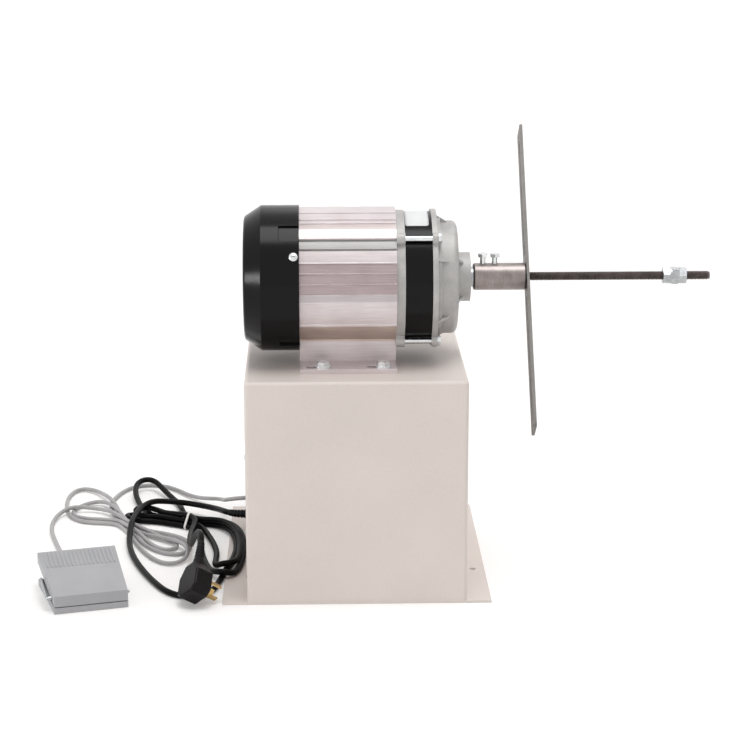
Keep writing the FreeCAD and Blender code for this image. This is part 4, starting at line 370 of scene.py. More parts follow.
WEARS = {
    "warm_grey_powder_coat": ("base_plate", "case_shell", "control_panel"),
    "gloss_black_enamel": ("end_cover", "ring_gear_case"),
    "etched_aluminium_extrusion": ("motor_body",),
    "die_cast_aluminium": ("rear_bracket", "front_bracket", "gearbox_cover"),
    "bright_zinc_plate": ("case_screws", "foot_bolts", "cover_screws", "tie_bolts", "clamp_screws"),
    "handled_zinc_plate": ("clamp_nuts", "nut_washer", "pedal_pin"),
    "turned_bare_steel": ("coupling_sleeve",),
    "pickled_steel_strip": ("faceplate_bar",),
    "blackened_thread_steel": ("winding_rod",),
    "ground_gear_steel": ("planet_gear_1", "planet_gear_2", "planet_gear_3", "planet_carrier", "output_shaft",
                          "shaft_key", "rotor_shaft"),
    "honed_bearing_steel": ("rear_bearing", "front_bearing", "output_bearing"),
    "moulded_nitrile": ("shaft_seal", "power_gland", "pedal_gland"),
    "laminated_steel": ("stator_core", "rotor_core"),
    "varnished_copper": ("stator_windings",),
    "glass_filled_nylon": ("cooling_fan",),
    "stippled_grey_enamel": ("pedal_plate", "pedal_base"),
    "black_moulding": ("counter_housing", "speed_pot", "power_switch_body", "direction_switch_body",
                       "pedal_switch"),
    "gloss_black_knob": ("speed_knob", "power_rocker"),
    "tinted_red_acrylic": ("counter_window",),
    "red_moulded_key": ("reset_key",),
    "nickel_plate": ("direction_lever",),
    "mill_aluminium": ("motor_driver",),
    "black_pvc_sheath": ("motor_lead", "power_cord", "power_hank"),
    "grey_pvc_sheath": ("pedal_cord", "pedal_hank", "pedal_lead"),
    "black_pvc_plug": ("plug",),
    "rolled_brass": ("plug_pins",),
    "white_paper_tie": ("cord_ties",),
    "oil_blued_spring_steel": ("pedal_spring",),
}


# ---- Geometry Nodes ------------------------------------------------------------------
CYLINDER, CONE, BOOLEAN = "GeometryNodeMeshCylinder", "GeometryNodeMeshCone", "GeometryNodeMeshBoolean"


def new_tree(name, sizes):
    """A tree with named size inputs and a material; returns it and the outputs of its input node."""
    tree = bpy.data.node_groups.new(name, "GeometryNodeTree")
    tree.interface.new_socket("Geometry", in_out="INPUT", socket_type="NodeSocketGeometry")
    for size in sizes:
        tree.interface.new_socket(size, in_out="INPUT", socket_type="NodeSocketFloat")
    tree.interface.new_socket("Finish", in_out="INPUT", socket_type="NodeSocketMaterial")
    tree.interface.new_socket("Geometry", in_out="OUTPUT", socket_type="NodeSocketGeometry")
    return tree, put(tree, "NodeGroupInput").outputs


def end_tree(tree, shape, given):
    """Closes a tree with Realize Instances and Set Material."""
    real = put(tree, "GeometryNodeRealizeInstances", {"Geometry": shape})
    flat = put(tree, "GeometryNodeSetShadeSmooth", {"Geometry": real, "Shade Smooth": False})
    worn = put(tree, "GeometryNodeSetMaterial", {"Geometry": flat, "Material": given["Finish"]})
    put(tree, "NodeGroupOutput", {"Geometry": worn})
    return tree


def end_on_seats(tree, shape, given):
    """Sets a shape on each seat, along its stored way out and turned about that way, and closes the tree."""
    way = put(tree, "GeometryNodeInputNamedAttribute", {"Name": "way"}, data_type="FLOAT_VECTOR")
    turn = put(tree, "GeometryNodeInputNamedAttribute", {"Name": "turn"}, data_type="FLOAT")
    aligned = put(tree, "FunctionNodeAlignRotationToVector", {"Vector": way}, axis="Z")
    spin = put(tree, "FunctionNodeAxisAngleToRotation", {"Axis": UP, "Angle": turn})
    turned = put(tree, "FunctionNodeRotateRotation", {"Rotation": aligned, "Rotate By": spin},
                 rotation_space="LOCAL")
    placed = put(tree, "GeometryNodeInstanceOnPoints",
                 {"Points": given["Geometry"], "Instance": shape, "Rotation": turned})
    return end_tree(tree, placed, given)


def raised(tree, shape, height):
    """Moves a shape up by a height that may be a socket."""
    lift = put(tree, "ShaderNodeCombineXYZ", {"Z": height})
    return put(tree, "GeometryNodeTransform", {"Geometry": shape, "Translation": lift})


def hexagon_tree():
    """A hexagon bolt or nut: chamfered head, washer below it and shank."""
    tree, given = new_tree("hexagon bolt", ("Across Flats", "Head Height", "Washer Radius",
                                            "Washer Thickness", "Shank Radius", "Shank Length"))
    face_share, chamfer_spread = 0.475, 1.732      # of the flats; sideways for one down the chamfer
    flats, height, thick = given["Across Flats"], given["Head Height"], given["Washer Thickness"]
    corner = put(tree, MATH, {0: flats, 1: 1 / math.sqrt(3)}, operation="MULTIPLY")
    prism = put(tree, CYLINDER, {"Vertices": 6, "Radius": corner, "Depth": height})
    face_r = put(tree, MATH, {0: flats, 1: face_share}, operation="MULTIPLY")
    foot_r = put(tree, MATH, {0: height, 1: chamfer_spread, 2: face_r}, operation="MULTIPLY_ADD")
    cone = put(tree, CONE, {"Vertices": 48, "Radius Top": face_r, "Radius Bottom": foot_r, "Depth": height})
    half_head = put(tree, MATH, {0: height, 1: -0.5}, operation="MULTIPLY")
    head = put(tree, BOOLEAN, {"Mesh 2": [prism, raised(tree, cone, half_head)]},
               operation="INTERSECT", solver="EXACT")
    head_mid = put(tree, MATH, {0: height, 1: 0.5, 2: thick}, operation="MULTIPLY_ADD")
    washer = put(tree, CYLINDER, {"Vertices": 40, "Radius": given["Washer Radius"], "Depth": thick})
    washer_mid = put(tree, MATH, {0: thick, 1: 0.5}, operation="MULTIPLY")
    shank = put(tree, CYLINDER, {"Vertices": 20, "Radius": given["Shank Radius"],
                                 "Depth": given["Shank Length"]})
    shank_mid = put(tree, MATH, {0: given["Shank Length"], 1: -0.5, 2: thick}, operation="MULTIPLY_ADD")
    bolt = put(tree, "GeometryNodeJoinGeometry", {"Geometry": [
        raised(tree, head, head_mid), raised(tree, washer, washer_mid), raised(tree, shank, shank_mid)]})
    return end_on_seats(tree, bolt, given)


def cross_recess_tree():
    """A low domed head with a tapered cross recess, and its shank."""
    tree, given = new_tree("cross recess screw", ("Head Radius", "Head Height", "Dome Radius",
                                                  "Recess Reach", "Shank Radius", "Shank Length"))
    tip_share, wing_breadth, depth_share = 0.35, 0.27, 0.36      # of the reach, of its length, of the head
    height, reach = given["Head Height"], given["Recess Reach"]
    dome = put(tree, "GeometryNodeMeshUVSphere", {"Segments": 40, "Rings": 26,
                                                  "Radius": given["Dome Radius"]})
    sink = put(tree, MATH, {0: height, 1: given["Dome Radius"]}, operation="SUBTRACT")
    disc = put(tree, CYLINDER, {"Vertices": 40, "Radius": given["Head Radius"], "Depth": height})
    half = put(tree, MATH, {0: height, 1: 0.5}, operation="MULTIPLY")
    head = put(tree, BOOLEAN, {"Mesh 2": [raised(tree, dome, sink), raised(tree, disc, half)]},
               operation="INTERSECT", solver="EXACT")
    tip = put(tree, MATH, {0: reach, 1: tip_share}, operation="MULTIPLY")
    depth = put(tree, MATH, {0: height, 1: depth_share}, operation="MULTIPLY")
    wings = []
    for quarter in (0.0, math.pi / 2):
        wing = put(tree, CONE, {"Vertices": 4, "Radius Top": reach, "Radius Bottom": tip, "Depth": height})
        square = put(tree, "GeometryNodeTransform", {"Geometry": wing, "Rotation": (0.0, 0.0, math.pi / 4)})
        flat = put(tree, "GeometryNodeTransform", {"Geometry": square, "Scale": (1.0, wing_breadth, 1.0)})
        crossed = put(tree, "GeometryNodeTransform", {"Geometry": flat, "Rotation": (0.0, 0.0, quarter)})
        wings.append(raised(tree, crossed, depth))
    cut = put(tree, BOOLEAN, {"Mesh 1": head, "Mesh 2": wings}, operation="DIFFERENCE", solver="EXACT")
    shank = put(tree, CYLINDER, {"Vertices": 16, "Radius": given["Shank Radius"],
                                 "Depth": given["Shank Length"]})
    back = put(tree, MATH, {0: given["Shank Length"], 1: -0.5}, operation="MULTIPLY")
    screw = put(tree, "GeometryNodeJoinGeometry", {"Geometry": [cut, raised(tree, shank, back)]})
    return end_on_seats(tree, screw, given)


def thread_tree(steps):
    """A rolled thread as one ribbon wound along the spindle, with its core."""
    tree, given = new_tree("rolled thread", ("Start", "Length", "Pitch", "Root Radius", "Crest Radius"))
    crest_half = 0.06                           # half the crest's breadth, as a share of the pitch
    seam, core_rise = 0.01 * MM, 0.02 * MM      # turns this near are sealed; the core hides their roots
    turns = put(tree, MATH, {0: given["Length"], 1: given["Pitch"]}, operation="DIVIDE")
    count = put(tree, MATH, {0: turns, 1: steps, 2: 1.0}, operation="MULTIPLY_ADD")
    ribbon = put(tree, "GeometryNodeMeshGrid", {"Size X": 1.0, "Size Y": 1.0, "Vertices X": count,
                                                "Vertices Y": 5})
    where = put(tree, "ShaderNodeSeparateXYZ", {0: ribbon.outputs["UV Map"]})
    u, v = where.outputs["X"], where.outputs["Y"]
    angle = put(tree, MATH, {0: u, 1: turns}, operation="MULTIPLY")
    angle = put(tree, MATH, {0: angle, 1: math.tau}, operation="MULTIPLY")
    run = put(tree, MATH, {0: u, 1: given["Length"], 2: given["Start"]}, operation="MULTIPLY_ADD")
    x = put(tree, MATH, {0: v, 1: given["Pitch"], 2: run}, operation="MULTIPLY_ADD")
    fold = put(tree, MATH, {0: v, 1: 0.5}, operation="SUBTRACT")
    fold = put(tree, MATH, {0: fold}, operation="ABSOLUTE")
    crest = put(tree, RANGE, {"Value": fold, "From Min": 0.5, "From Max": crest_half})
    left = put(tree, MATH, {0: 1.0, 1: u}, operation="SUBTRACT")
    nearer = put(tree, MATH, {0: u, 1: left}, operation="MINIMUM")
    fade = put(tree, MATH, {0: nearer, 1: turns}, operation="MULTIPLY", use_clamp=True)
    rise = put(tree, MATH, {0: given["Crest Radius"], 1: given["Root Radius"]}, operation="SUBTRACT")
    tooth = put(tree, MATH, {0: crest, 1: fade}, operation="MULTIPLY")
    radius = put(tree, MATH, {0: tooth, 1: rise, 2: given["Root Radius"]}, operation="MULTIPLY_ADD")
    sine = put(tree, MATH, {0: angle}, operation="SINE")
    cosine = put(tree, MATH, {0: angle}, operation="COSINE")
    side = put(tree, MATH, {0: radius, 1: sine}, operation="MULTIPLY")
    side = put(tree, MATH, {0: AXIS_Y * MM, 1: side}, operation="SUBTRACT")
    up = put(tree, MATH, {0: radius, 1: cosine, 2: AXIS_Z * MM}, operation="MULTIPLY_ADD")
    at = put(tree, "ShaderNodeCombineXYZ", {"X": x, "Y": side, "Z": up})
    wound = put(tree, "GeometryNodeSetPosition", {"Geometry": ribbon, "Position": at})
    sealed = put(tree, "GeometryNodeMergeByDistance", {"Geometry": wound, "Distance": seam})
    core_r = put(tree, MATH, {0: given["Root Radius"], 1: core_rise}, operation="ADD")
    core_l = put(tree, MATH, {0: given["Length"], 1: given["Pitch"]}, operation="ADD")
    core = put(tree, CYLINDER, {"Vertices": steps, "Radius": core_r, "Depth": core_l})
    core_x = put(tree, MATH, {0: core_l, 1: 0.5, 2: given["Start"]}, operation="MULTIPLY_ADD")
    core_at = put(tree, "ShaderNodeCombineXYZ", {"X": core_x, "Y": AXIS_Y * MM, "Z": AXIS_Z * MM})
    laid = put(tree, "GeometryNodeTransform", {"Geometry": core, "Translation": core_at,
                                               "Rotation": (0.0, math.pi / 2, 0.0)})
    rod = put(tree, "GeometryNodeJoinGeometry", {"Geometry": [sealed, laid]})
    return end_tree(tree, rod, given)


def bars_tree():
    """Plain bars on seats, for the marks round a dial and the ribs of the motor housing."""
    tree, given = new_tree("bars", ("Length", "Width", "Thickness"))
    size = put(tree, "ShaderNodeCombineXYZ", {"X": given["Length"], "Y": given["Width"],
                                              "Z": given["Thickness"]})
    return end_on_seats(tree, put(tree, "GeometryNodeMeshCube", {"Size": size}), given)


def grown(tree, seats, finish_name, **sizes):
    """Runs a tree on seats (place in mm, way out, turn in degrees) and returns its plain mesh."""
    points = bpy.data.meshes.new("seats")
    points.from_pydata([Vector(place) * MM for place, way, turn in seats], [], [])
    points.attributes.new("way", "FLOAT_VECTOR", "POINT")
    points.attributes.new("turn", "FLOAT", "POINT")
    for i, (place, way, turn) in enumerate(seats):
        points.attributes["way"].data[i].vector = way
        points.attributes["turn"].data[i].value = math.radians(turn)
    carrier = linked("seats", points)
    modifier = carrier.modifiers.new(tree.name, "NODES")
    modifier.node_group = tree
    given = {"finish": FINISHES[finish_name], **{name: size * MM for name, size in sizes.items()}}
    for item in tree.interface.items_tree:
        name = item.name.lower().replace(" ", "_")
        if item.in_out == "INPUT" and name in given:
            modifier[item.identifier] = given[name]
    mesh = plain_copy(carrier)
    carrier.modifiers.remove(modifier)
    bpy.data.objects.remove(carrier)
    bpy.data.meshes.remove(points)
    for name in ("way", "turn"):
        if name in mesh.attributes:
            mesh.attributes.remove(mesh.attributes[name])
    return mesh


# ---- Stage ---------------------------------------------------------------------------
FLOOR_Z = -0.15
CAMERA_AT, CAMERA_WAY = (-0.04460, -2.37637, 0.82888), (0.0281, 0.9677, -0.2505)
CAMERA_LENS, CAMERA_NEAR, CAMERA_FAR = 103.13, 0.05, 100.0


def seen_ray(tree):
    """Tells what is seen directly, mirrored or through something clear from what only gets light."""
    ray = put(tree, "ShaderNodeLightPath").outputs
    seen = put(tree, MATH, {0: ray["Is Camera Ray"], 1: ray["Is Glossy Ray"]}, operation="MAXIMUM")
    return put(tree, MATH, {0: seen, 1: ray["Is Transmission Ray"]}, operation="MAXIMUM")


def lay_floor(stage):
    """A plain pale floor; seen directly it is lifted to white, and it keeps the shadow."""
    half = stage.floor_size / 2 / MM
    mesh = mesh_of("floor", [(x, y, FLOOR_Z) for x, y in ((-half, -half), (half, -half), (half, half),
                                                          (-half, half))], [(0, 1, 2, 3)])
    material, tree = empty_material("matt_white_sweep")
    glow = put(tree, MATH, {0: seen_ray(tree), 1: stage.floor_lift}, operation="MULTIPLY")
    place = put(tree, "ShaderNodeTexCoord").outputs["Object"]
    grain = put(tree, "ShaderNodeTexNoise", {"Vector": place, "Scale": 3.0})
    colour = put(tree, MIX, {0: grain, 6: paint("#F4F2F1"), 7: paint("#F8F7F6")}, data_type="RGBA")
    matt = put(tree, "ShaderNodeBsdfDiffuse", {"Color": colour.outputs[2]})
    lift = put(tree, "ShaderNodeEmission", {"Strength": glow})
    both = put(tree, "ShaderNodeAddShader", {0: matt, 1: lift})
    put(tree, "ShaderNodeOutputMaterial", {"Surface": both})
    mesh.materials.append(material)
    object_of("floor", mesh)


def light_room(stage):
    """A white surround for camera and reflections, dimmer as a light, and three broad soft lamps."""
    world = bpy.data.worlds.new("white studio")
    bpy.context.scene.world = world
    world.use_nodes = True
    tree = world.node_tree
    tree.nodes.clear()
    level = put(tree, RANGE, {"Value": seen_ray(tree), "To Min": stage.room_light, "To Max": 1.0})
    sky = put(tree, "ShaderNodeBackground", {"Color": (1.0, 1.0, 1.0, 1.0), "Strength": level})
    put(tree, "ShaderNodeOutputWorld", {"Surface": sky})
    for name, toward, spread, power in (("overhead", (0.10, -0.10, 1.0), 34.0, stage.key_power),
                                        ("side", (-0.9, -0.44, 0.08), 13.0, stage.side_power),
                                        ("back", (0.5, 0.9, 0.7), 50.0, stage.fill_power)):
        lamp = bpy.data.lights.new(name, "SUN")
        lamp.angle = math.radians(spread)
        lamp.energy = power
        holder = linked(name, lamp)
        holder.location = toward
        holder.rotation_euler = (-Vector(toward)).to_track_quat("-Z", "Y").to_euler()


def set_camera():
    """The camera of the main view."""
    data = bpy.data.cameras.new("camera")
    data.lens = CAMERA_LENS
    data.sensor_width = 36.0
    data.clip_start = CAMERA_NEAR
    data.clip_end = CAMERA_FAR
    camera = linked("camera", data)
    camera.location = CAMERA_AT
    camera.rotation_euler = Vector(CAMERA_WAY).to_track_quat("-Z", "Y").to_euler()
    bpy.context.scene.camera = camera


# ---- Cords ---------------------------------------------------------------------------
# Each bundle is its middle, the way along it and the way aside: the mains hank where it is tied, and the
# waist at which the pedal cord's loops cross.
TIE = ((-196.0, 99.0), (-0.8944, 0.4472), (0.4472, 0.8944))
WAIST = ((-277.0, 106.0), (0.414, -0.910), (0.910, 0.414))


def strand(bundle, *places):
    """Points of a strand in a bundle, from (distance along, distance aside, height)."""
    (x, y), along, aside = bundle
    return [(x + along[0] * s + aside[0] * t, y + along[1] * s + aside[1] * t, z) for s, t, z in places]


# The strands of each cord in millimetres, end to end, HELD where they lie or FREE to settle.
HELD, FREE = 0.0, 1.0
MAINS_STRANDS = (
    (HELD, [(-128, 75, 24), (-137, 75, 24), (-151, 86.2, 22.5), (-158.5, 104, 19.5)]),
    (FREE, [(-168, 124, 17), (-185, 142, 15), (-206, 155, 14), (-228, 156, 14), (-245, 147, 16),
            (-256, 130, 18.5), (-261.5, 107, 18.5), (-264.5, 82, 18), (-265, 58, 13), (-264.5, 34, 6.5),
            (-261.5, 8, 3.5), (-255.5, -20, 3.5), (-246.5, -50, 3.5), (-235, -82, 3.5), (-222, -112, 3.5),
            (-212, -132, 3.5), (-199, -147, 3.5), (-182, -152, 3.5), (-166.5, -145.5, 3.5),
            (-157.5, -129.5, 3.7), (-154, -111, 3.7), (-151.5, -92, 4),
            (-147.5, -72, 5), (-141, -44, 6.2), (-137, -12, 6.2), (-137, 20, 6.2), (-141, 50, 6.2),
            (-149, 74, 5.5), (-161, 91, 4.2), (-176, 98, 3.6)]),
    (FREE, strand(TIE, (0, 0, 3.5), (25, 0, 3.5), (46, 0.5, 3.5), (60, 3, 3.5), (70, 5, 3.5),
                  (79, 3, 3.5), (85, -4, 3.5), (84, -12.5, 3.5), (77, -18.5, 3.5), (67, -19, 3.5),
                  (54, -13.5, 3.5), (40, -8, 3.5), (22, -7.2, 3.5), (2, -7.2, 3.5))),
    (FREE, [(-188.5, 86, 3.6), (-183.5, 66, 3.6), (-181, 38, 3.6), (-178.5, 5, 3.6), (-174, -30, 3.6),
            (-168, -58, 3.6), (-163.5, -77, 5), (-157, -89, 8.5), (-148.5, -94, 11.5), (-140.5, -90, 12.3),
            (-135, -80, 12), (-132, -65, 10.3), (-130.5, -42, 7), (-129, -8, 6.2), (-129, 24, 6.2),
            (-132, 52, 6.2), (-139.5, 80, 6), (-152, 99, 5), (-167, 107, 3.6), (-181, 108.8, 3.6)]),
    (FREE, strand(TIE, (2, 7.2, 3.5), (24, 7.2, 3.5), (42, 8, 3.5)) + [(-246, 136, 5), (-256, 155, 7.5)]),
    (HELD, [(-264, 180, 4.4), (-270, 204, 7.6), (-272, 227, 11), (-268, 242, 13.5), (-259, 249, 14.2),
            (-249, 245.5, 13), (-241, 232, 10.4), (-233, 216, 7.6), (-225, 200.5, 5.4), (-217, 184, 4.3)]),
    (FREE, [(-211, 164, 3.8), (-208, 144, 4.5), (-205, 126, 8)] + strand(TIE, (12, 6, 10.5), (0, 3.6, 9.8))),
    (FREE, [(-183, 95.5, 9.8), (-168, 94.5, 11), (-155, 84, 12.4), (-144, 62, 12.6), (-136, 34, 12.4),
            (-132.5, 4, 12.4), (-131.5, -22, 12.4), (-132, -44, 13), (-134.5, -59, 14), (-141, -69, 14),
            (-149.5, -71.5, 12), (-157, -65, 9), (-160, -53, 7), (-159.5, -36, 5.5), (-159, -10, 4.4),
            (-163.5, 20, 3.8), (-171, 50, 4.2), (-181, 78, 8)]),
    (FREE, strand(TIE, (-2, -3.6, 9.6), (22, -3.6, 9.6), (42, -3, 9.6), (56, -6.5, 9), (66, -7, 8.4),
                  (74, -3.5, 8), (78.5, 3, 8), (76, 11, 8), (69, 15.5, 8), (60, 15, 8.5), (49, 10, 10),
                  (38, 4, 13.5), (20, 0, 15.7), (2, 0, 15.9))),
    (FREE, [(-188, 86, 15.5), (-189.5, 70, 15), (-191.5, 50, 14.5), (-192, 26, 14.5), (-191, -5, 15)]),
    (HELD, [(-188, -33, 22), (-184, -56, 36), (-179, -77, 51), (-173.5, -98.5, 61), (-170.2, -120.4, 59.3),
            (-172.5, -139.4, 44.8)]),
)
PEDAL_STRANDS = (
    (HELD, [(-128, 75, 44), (-138.5, 75, 43.4), (-148.5, 81.5, 40.2), (-153.5, 97.5, 34.4),
            (-154.5, 119, 27.6)]),
    (FREE, [(-157, 145, 17), (-164, 170, 7), (-176, 186, 2.5), (-191, 198, 2.5), (-205, 215, 2.5),
            (-218, 236, 2.5), (-233, 253, 2.5), (-251, 262, 2.5), (-268, 260, 2.5), (-282, 247, 2.5),
            (-291, 228, 2.5), (-297, 204, 2.5), (-299, 182, 2.5), (-297, 160, 2.5)]),
    (FREE, strand(WAIST, (-28, 0, 2.5), (-4, 0, 2.5), (18, 0, 2.5), (38, -1, 2.5))),
    (FREE, [(-252, 42, 2.5), (-238, 16, 2.5), (-221, -4, 2.5), (-205, -10, 2.8), (-194, -2, 3.4),
            (-190.5, 16, 3.4), (-194, 36, 3.2), (-206, 54, 2.8), (-224, 67, 2.5), (-244, 77, 2.5),
            (-260, 88, 2.5)]),
    (FREE, strand(WAIST, (2, 5, 2.5), (-18, 5, 2.5))),
    (FREE, [(-284, 132, 2.5), (-288, 154, 2.5), (-297, 182, 6.5), (-309, 212, 3), (-323, 236, 2.5),
            (-338, 247, 2.5), (-349, 240, 2.5), (-355, 216, 2.5), (-355, 188, 2.5), (-351, 158, 2.5),
            (-343, 132, 2.5), (-328, 114, 2.5), (-308, 110, 2.5), (-292, 108, 2.5)]),
    (FREE, strand(WAIST, (2, -5.2, 2.5), (20, -5.2, 2.5), (40, -6, 2.5))),
    (FREE, [(-256, 32, 2.5), (-246, 4, 2.5), (-233, -24, 2.5), (-218, -42, 2.5), (-203, -42, 2.7),
            (-194, -28, 3.2), (-192, -6, 7), (-200, 16, 5.5), (-214, 34, 4.5), (-233, 50, 3.5),
            (-250, 66, 5)]),
    (FREE, strand(WAIST, (18, 2.5, 6.9), (0, 2.5, 6.9), (-18, 2.5, 6.9))),
    (FREE, [(-285, 140, 6.9), (-294, 162, 8), (-305, 182, 6), (-318, 190, 4), (-332, 181, 3),
            (-342, 164, 3), (-344, 146, 3), (-337, 132, 3), (-322, 124, 4), (-304, 119, 6.5)]),
    (FREE, strand(WAIST, (-6, -2.5, 6.9), (16, -2.5, 6.9), (36, -1.5, 5.5))),
    (FREE, [(-252, 52, 3.5), (-243, 30, 2.7), (-232, 10, 3), (-218, 4, 3.5), (-208, 12, 4), (-207, 26, 4),
            (-218, 42, 5), (-236, 58, 6), (-253, 75, 8.5)]),
    (FREE, strand(WAIST, (18, 0, 11.2), (-2, 0, 11.2))),
    (FREE, [(-284, 124, 10.5), (-294, 142, 10.5), (-307, 155, 10), (-322, 161, 8), (-336, 160, 6.5),
            (-349, 153, 6.5), (-358, 140, 4), (-363, 120, 2.5), (-363, 92, 2.5), (-358, 64, 2.5),
            (-350, 34, 2.5), (-342, 4, 2.8)]),
    (HELD, [(-337, -28, 4.6), (-334, -58, 8.5), (-334.6, -84.1, 11.5), (-331, -97.6, 12)]),
)

TIE_CENTRE = Vector((*TIE[0], 6.9))
TIE_WAY = Vector((-42.0, 21.0, -0.8)).normalized()
HANK_R = 30.0       # strands that pass the tie lie within this of its middle


def curve_weights(count, per_run=8):
    """Shares of the control points in evenly spaced samples of a cord's curve, of order 3 with endpoints."""
    runs = count - 2
    knots = [0.0, 0.0] + [float(k) for k in range(runs + 1)] + [runs, runs]
    shares = np.zeros((runs * per_run + 1, count))
    for row in range(len(shares)):
        t = row / per_run
        j = min(int(t), runs - 1)
        before, here, after, beyond = knots[j + 1:j + 5]
        s = t - here
        first, last = (after - t) / (after - before), s / (beyond - here)
        shares[row, j:j + 3] = (1 - s) * first, 1 - (1 - s) * first - s * last, s * last
    return shares


def settle(routes, radii, rounds=1500):
    """Lets the cords come to rest: strands a diameter apart, none below what they lie on.

    Each round pushes apart the samples that are too near one another, the floor, the base plate or the
    case, and draws the control points a little towards where they were drawn, downwards and into line.
    """
    look_every, look_within = 50, 12.0          # rounds from one look for neighbours to the next; mm
    same_stretch, gland_stretch = 6.4, 14.0     # in radii, the stretch with no neighbours; mm at the gland
    spare, ground_spare, case_spare = 0.25, 0.05, 0.6      # mm left between strands, below and beside
    plate_ramp = 3.5                            # mm over which a cord climbs on to the base plate
    upward = 0.35                               # how much more strands part upwards than sideways
    part, lift, reply = 0.25, 0.6, 1.2          # shares of a lack of room that one round makes good
    home, weight = 0.01, 0.006                  # draws to the place drawn, and downwards
    even_height, even_plan = 0.01, 0.0005       # draws to the mean of both neighbours
    calm_from, calm = 0.6, 0.25                 # the draws weaken after this share of the rounds, to this
    drawn = [np.array([p for loose, points in route for p in points], float) for route in routes]
    free = [np.array([[loose] for loose, points in route for p in points]) for route in routes]
    shares = [curve_weights(len(points)) for points in drawn]
    loads = [share.sum(0)[:, None] for share in shares]
    own = np.concatenate([np.full(len(share), k) for k, share in enumerate(shares)])
    radius = np.array(radii)[own]
    points = [p.copy() for p in drawn]
    for turn in range(rounds):
        lines = [share @ p for share, p in zip(shares, points)]
        line = np.vstack(lines)
        if turn % look_every == 0:
            steps = [np.linalg.norm(np.diff(p, axis=0), axis=1) for p in lines]
            gone = np.concatenate([np.concatenate([[0.0], step.cumsum()]) for step in steps])
            near = sum((line[:, None, axis] - line[None, :, axis]) ** 2 for axis in range(3))
            near = near < look_within ** 2
            near &= (own[:, None] != own) | (abs(gone[:, None] - gone) > same_stretch * radius)
            one, other = np.nonzero(np.triu(near, 1))
            room = radius[one] + radius[other] + spare
            on_plate = np.clip((line[:, 0] - PLATE_EDGE_X + plate_ramp) / plate_ramp, 0, 1)
            base = radius + ground_spare + (PLATE_T + ground_spare) * on_plate
            beside = (line[:, 1] < PANEL_BACK_Y) & (gone > gland_stretch)
        way = line[one] - line[other]
        apart = np.linalg.norm(way, axis=1) + 1e-9
        lack = np.clip(room - apart, 0, None)
        way /= apart[:, None]
        way[:, 2] += np.sign(way[:, 2] + 1e-6) * upward
        way *= (part * lack / np.linalg.norm(way, axis=1))[:, None]
        push = np.zeros_like(line)
        np.add.at(push, one, way)
        np.add.at(push, other, -way)
        push[:, 2] += np.clip(base - line[:, 2], 0, None) * lift
        push[:, 0] -= np.clip(line[:, 0] + radius + case_spare + CASE_SIDE_X, 0, None) * lift * beside
        start = 0
        ease = 1.0 if turn < rounds * calm_from else calm
        for k, p in enumerate(points):
            moved = shares[k].T @ push[start:start + len(shares[k])] / loads[k] * reply
            start += len(shares[k])
            pull = (drawn[k] - p) * (home, home, 0.0)
            pull[:, 2] -= weight * np.clip(p[:, 2] - radii[k], 0, 3)
            pull[1:-1] += (p[:-2] + p[2:] - 2 * p[1:-1]) * (even_plan, even_plan, even_height)
            p += (moved + pull * ease) * free[k]
    return points


def cord_line(name, points, diameter, finish_name):
    """A smooth cord through its control points, and the points of its centre line in millimetres."""
    data = bpy.data.curves.new(name, "CURVE")
    data.dimensions = "3D"
    data.resolution_u = 8
    spline = data.splines.new("NURBS")
    spline.points.add(len(points) - 1)
    for point, at in zip(spline.points, points):
        point.co = (at[0] * MM, at[1] * MM, at[2] * MM, 1.0)
    spline.order_u = 3
    spline.use_endpoint_u = True
    piece = object_of(name, data)
    line = plain_copy(piece)
    centre = [vertex.co / MM for vertex in line.vertices]
    bpy.data.meshes.remove(line)
    data.bevel_depth = diameter / 2
    data.bevel_resolution = 4
    data.use_fill_caps = True
    data.materials.append(FINISHES[finish_name])
    return piece, centre


def first_stretch(line, length, step):
    """Evenly spaced points from the start of a line."""
    wanted = [step * i for i in range(int(length / step) + 1)]
    found, gone = [], 0.0
    for a, b in zip(line, line[1:]):
        piece = (b - a).length
        while wanted and wanted[0] <= gone + piece:
            found.append(a.lerp(b, (wanted.pop(0) - gone) / piece))
        gone += piece
    return found


def heading(line, i):
    """The way that a line runs at one of its points."""
    return (line[min(i + 1, len(line) - 1)] - line[max(i - 1, 0)]).normalized()


def strain_relief(name, cord, length, slot):
    """A tapered ribbed sleeve moulded on the start of a cord, where it enters something."""
    thick, thin, step, pitch = 5.4, 3.9, 0.5, 4.0
    groove_depth, groove_from, groove_to, plain_end = 0.75, 0.45, 0.95, 0.6
    line = first_stretch(cord, length, step)
    rings, circle = [], rays(28)
    across = heading(line, 0).cross(UP)
    for i, at in enumerate(line):
        s = step * i
        grooved = groove_from < (s / pitch) % 1.0 < groove_to and s < length - pitch * plain_end
        radius = thick + (thin - thick) * s / length - (groove_depth if grooved else 0.0)
        way = heading(line, i)
        across = (across - way * across.dot(way)).normalized()
        up = way.cross(across)
        rings.append([at + (across * ray.x + up * ray.y) * max(radius, thin - 0.1) for ray in circle])
    return object_of(name, swept(name, rings, True), "frame", slot, "black_pvc_plug")


def ribbon(line, angles, half_width, half_thick, shift):
    """A flat ribbon along a line that turns about it."""
    rings = []
    for i, at in enumerate(line):
        way = heading(line, i)
        across = way.cross(UP).normalized()
        up = across.cross(way)
        wide = across * math.cos(angles[i]) + up * math.sin(angles[i])
        thick = up * math.cos(angles[i]) - across * math.sin(angles[i])
        middle = at + thick * shift
        rings.append([middle + wide * half_width * w + thick * half_thick * t
                      for w, t in ((-1, -1), (1, -1), (1, 1), (-1, 1))])
    return swept("tie tail", rings, False)


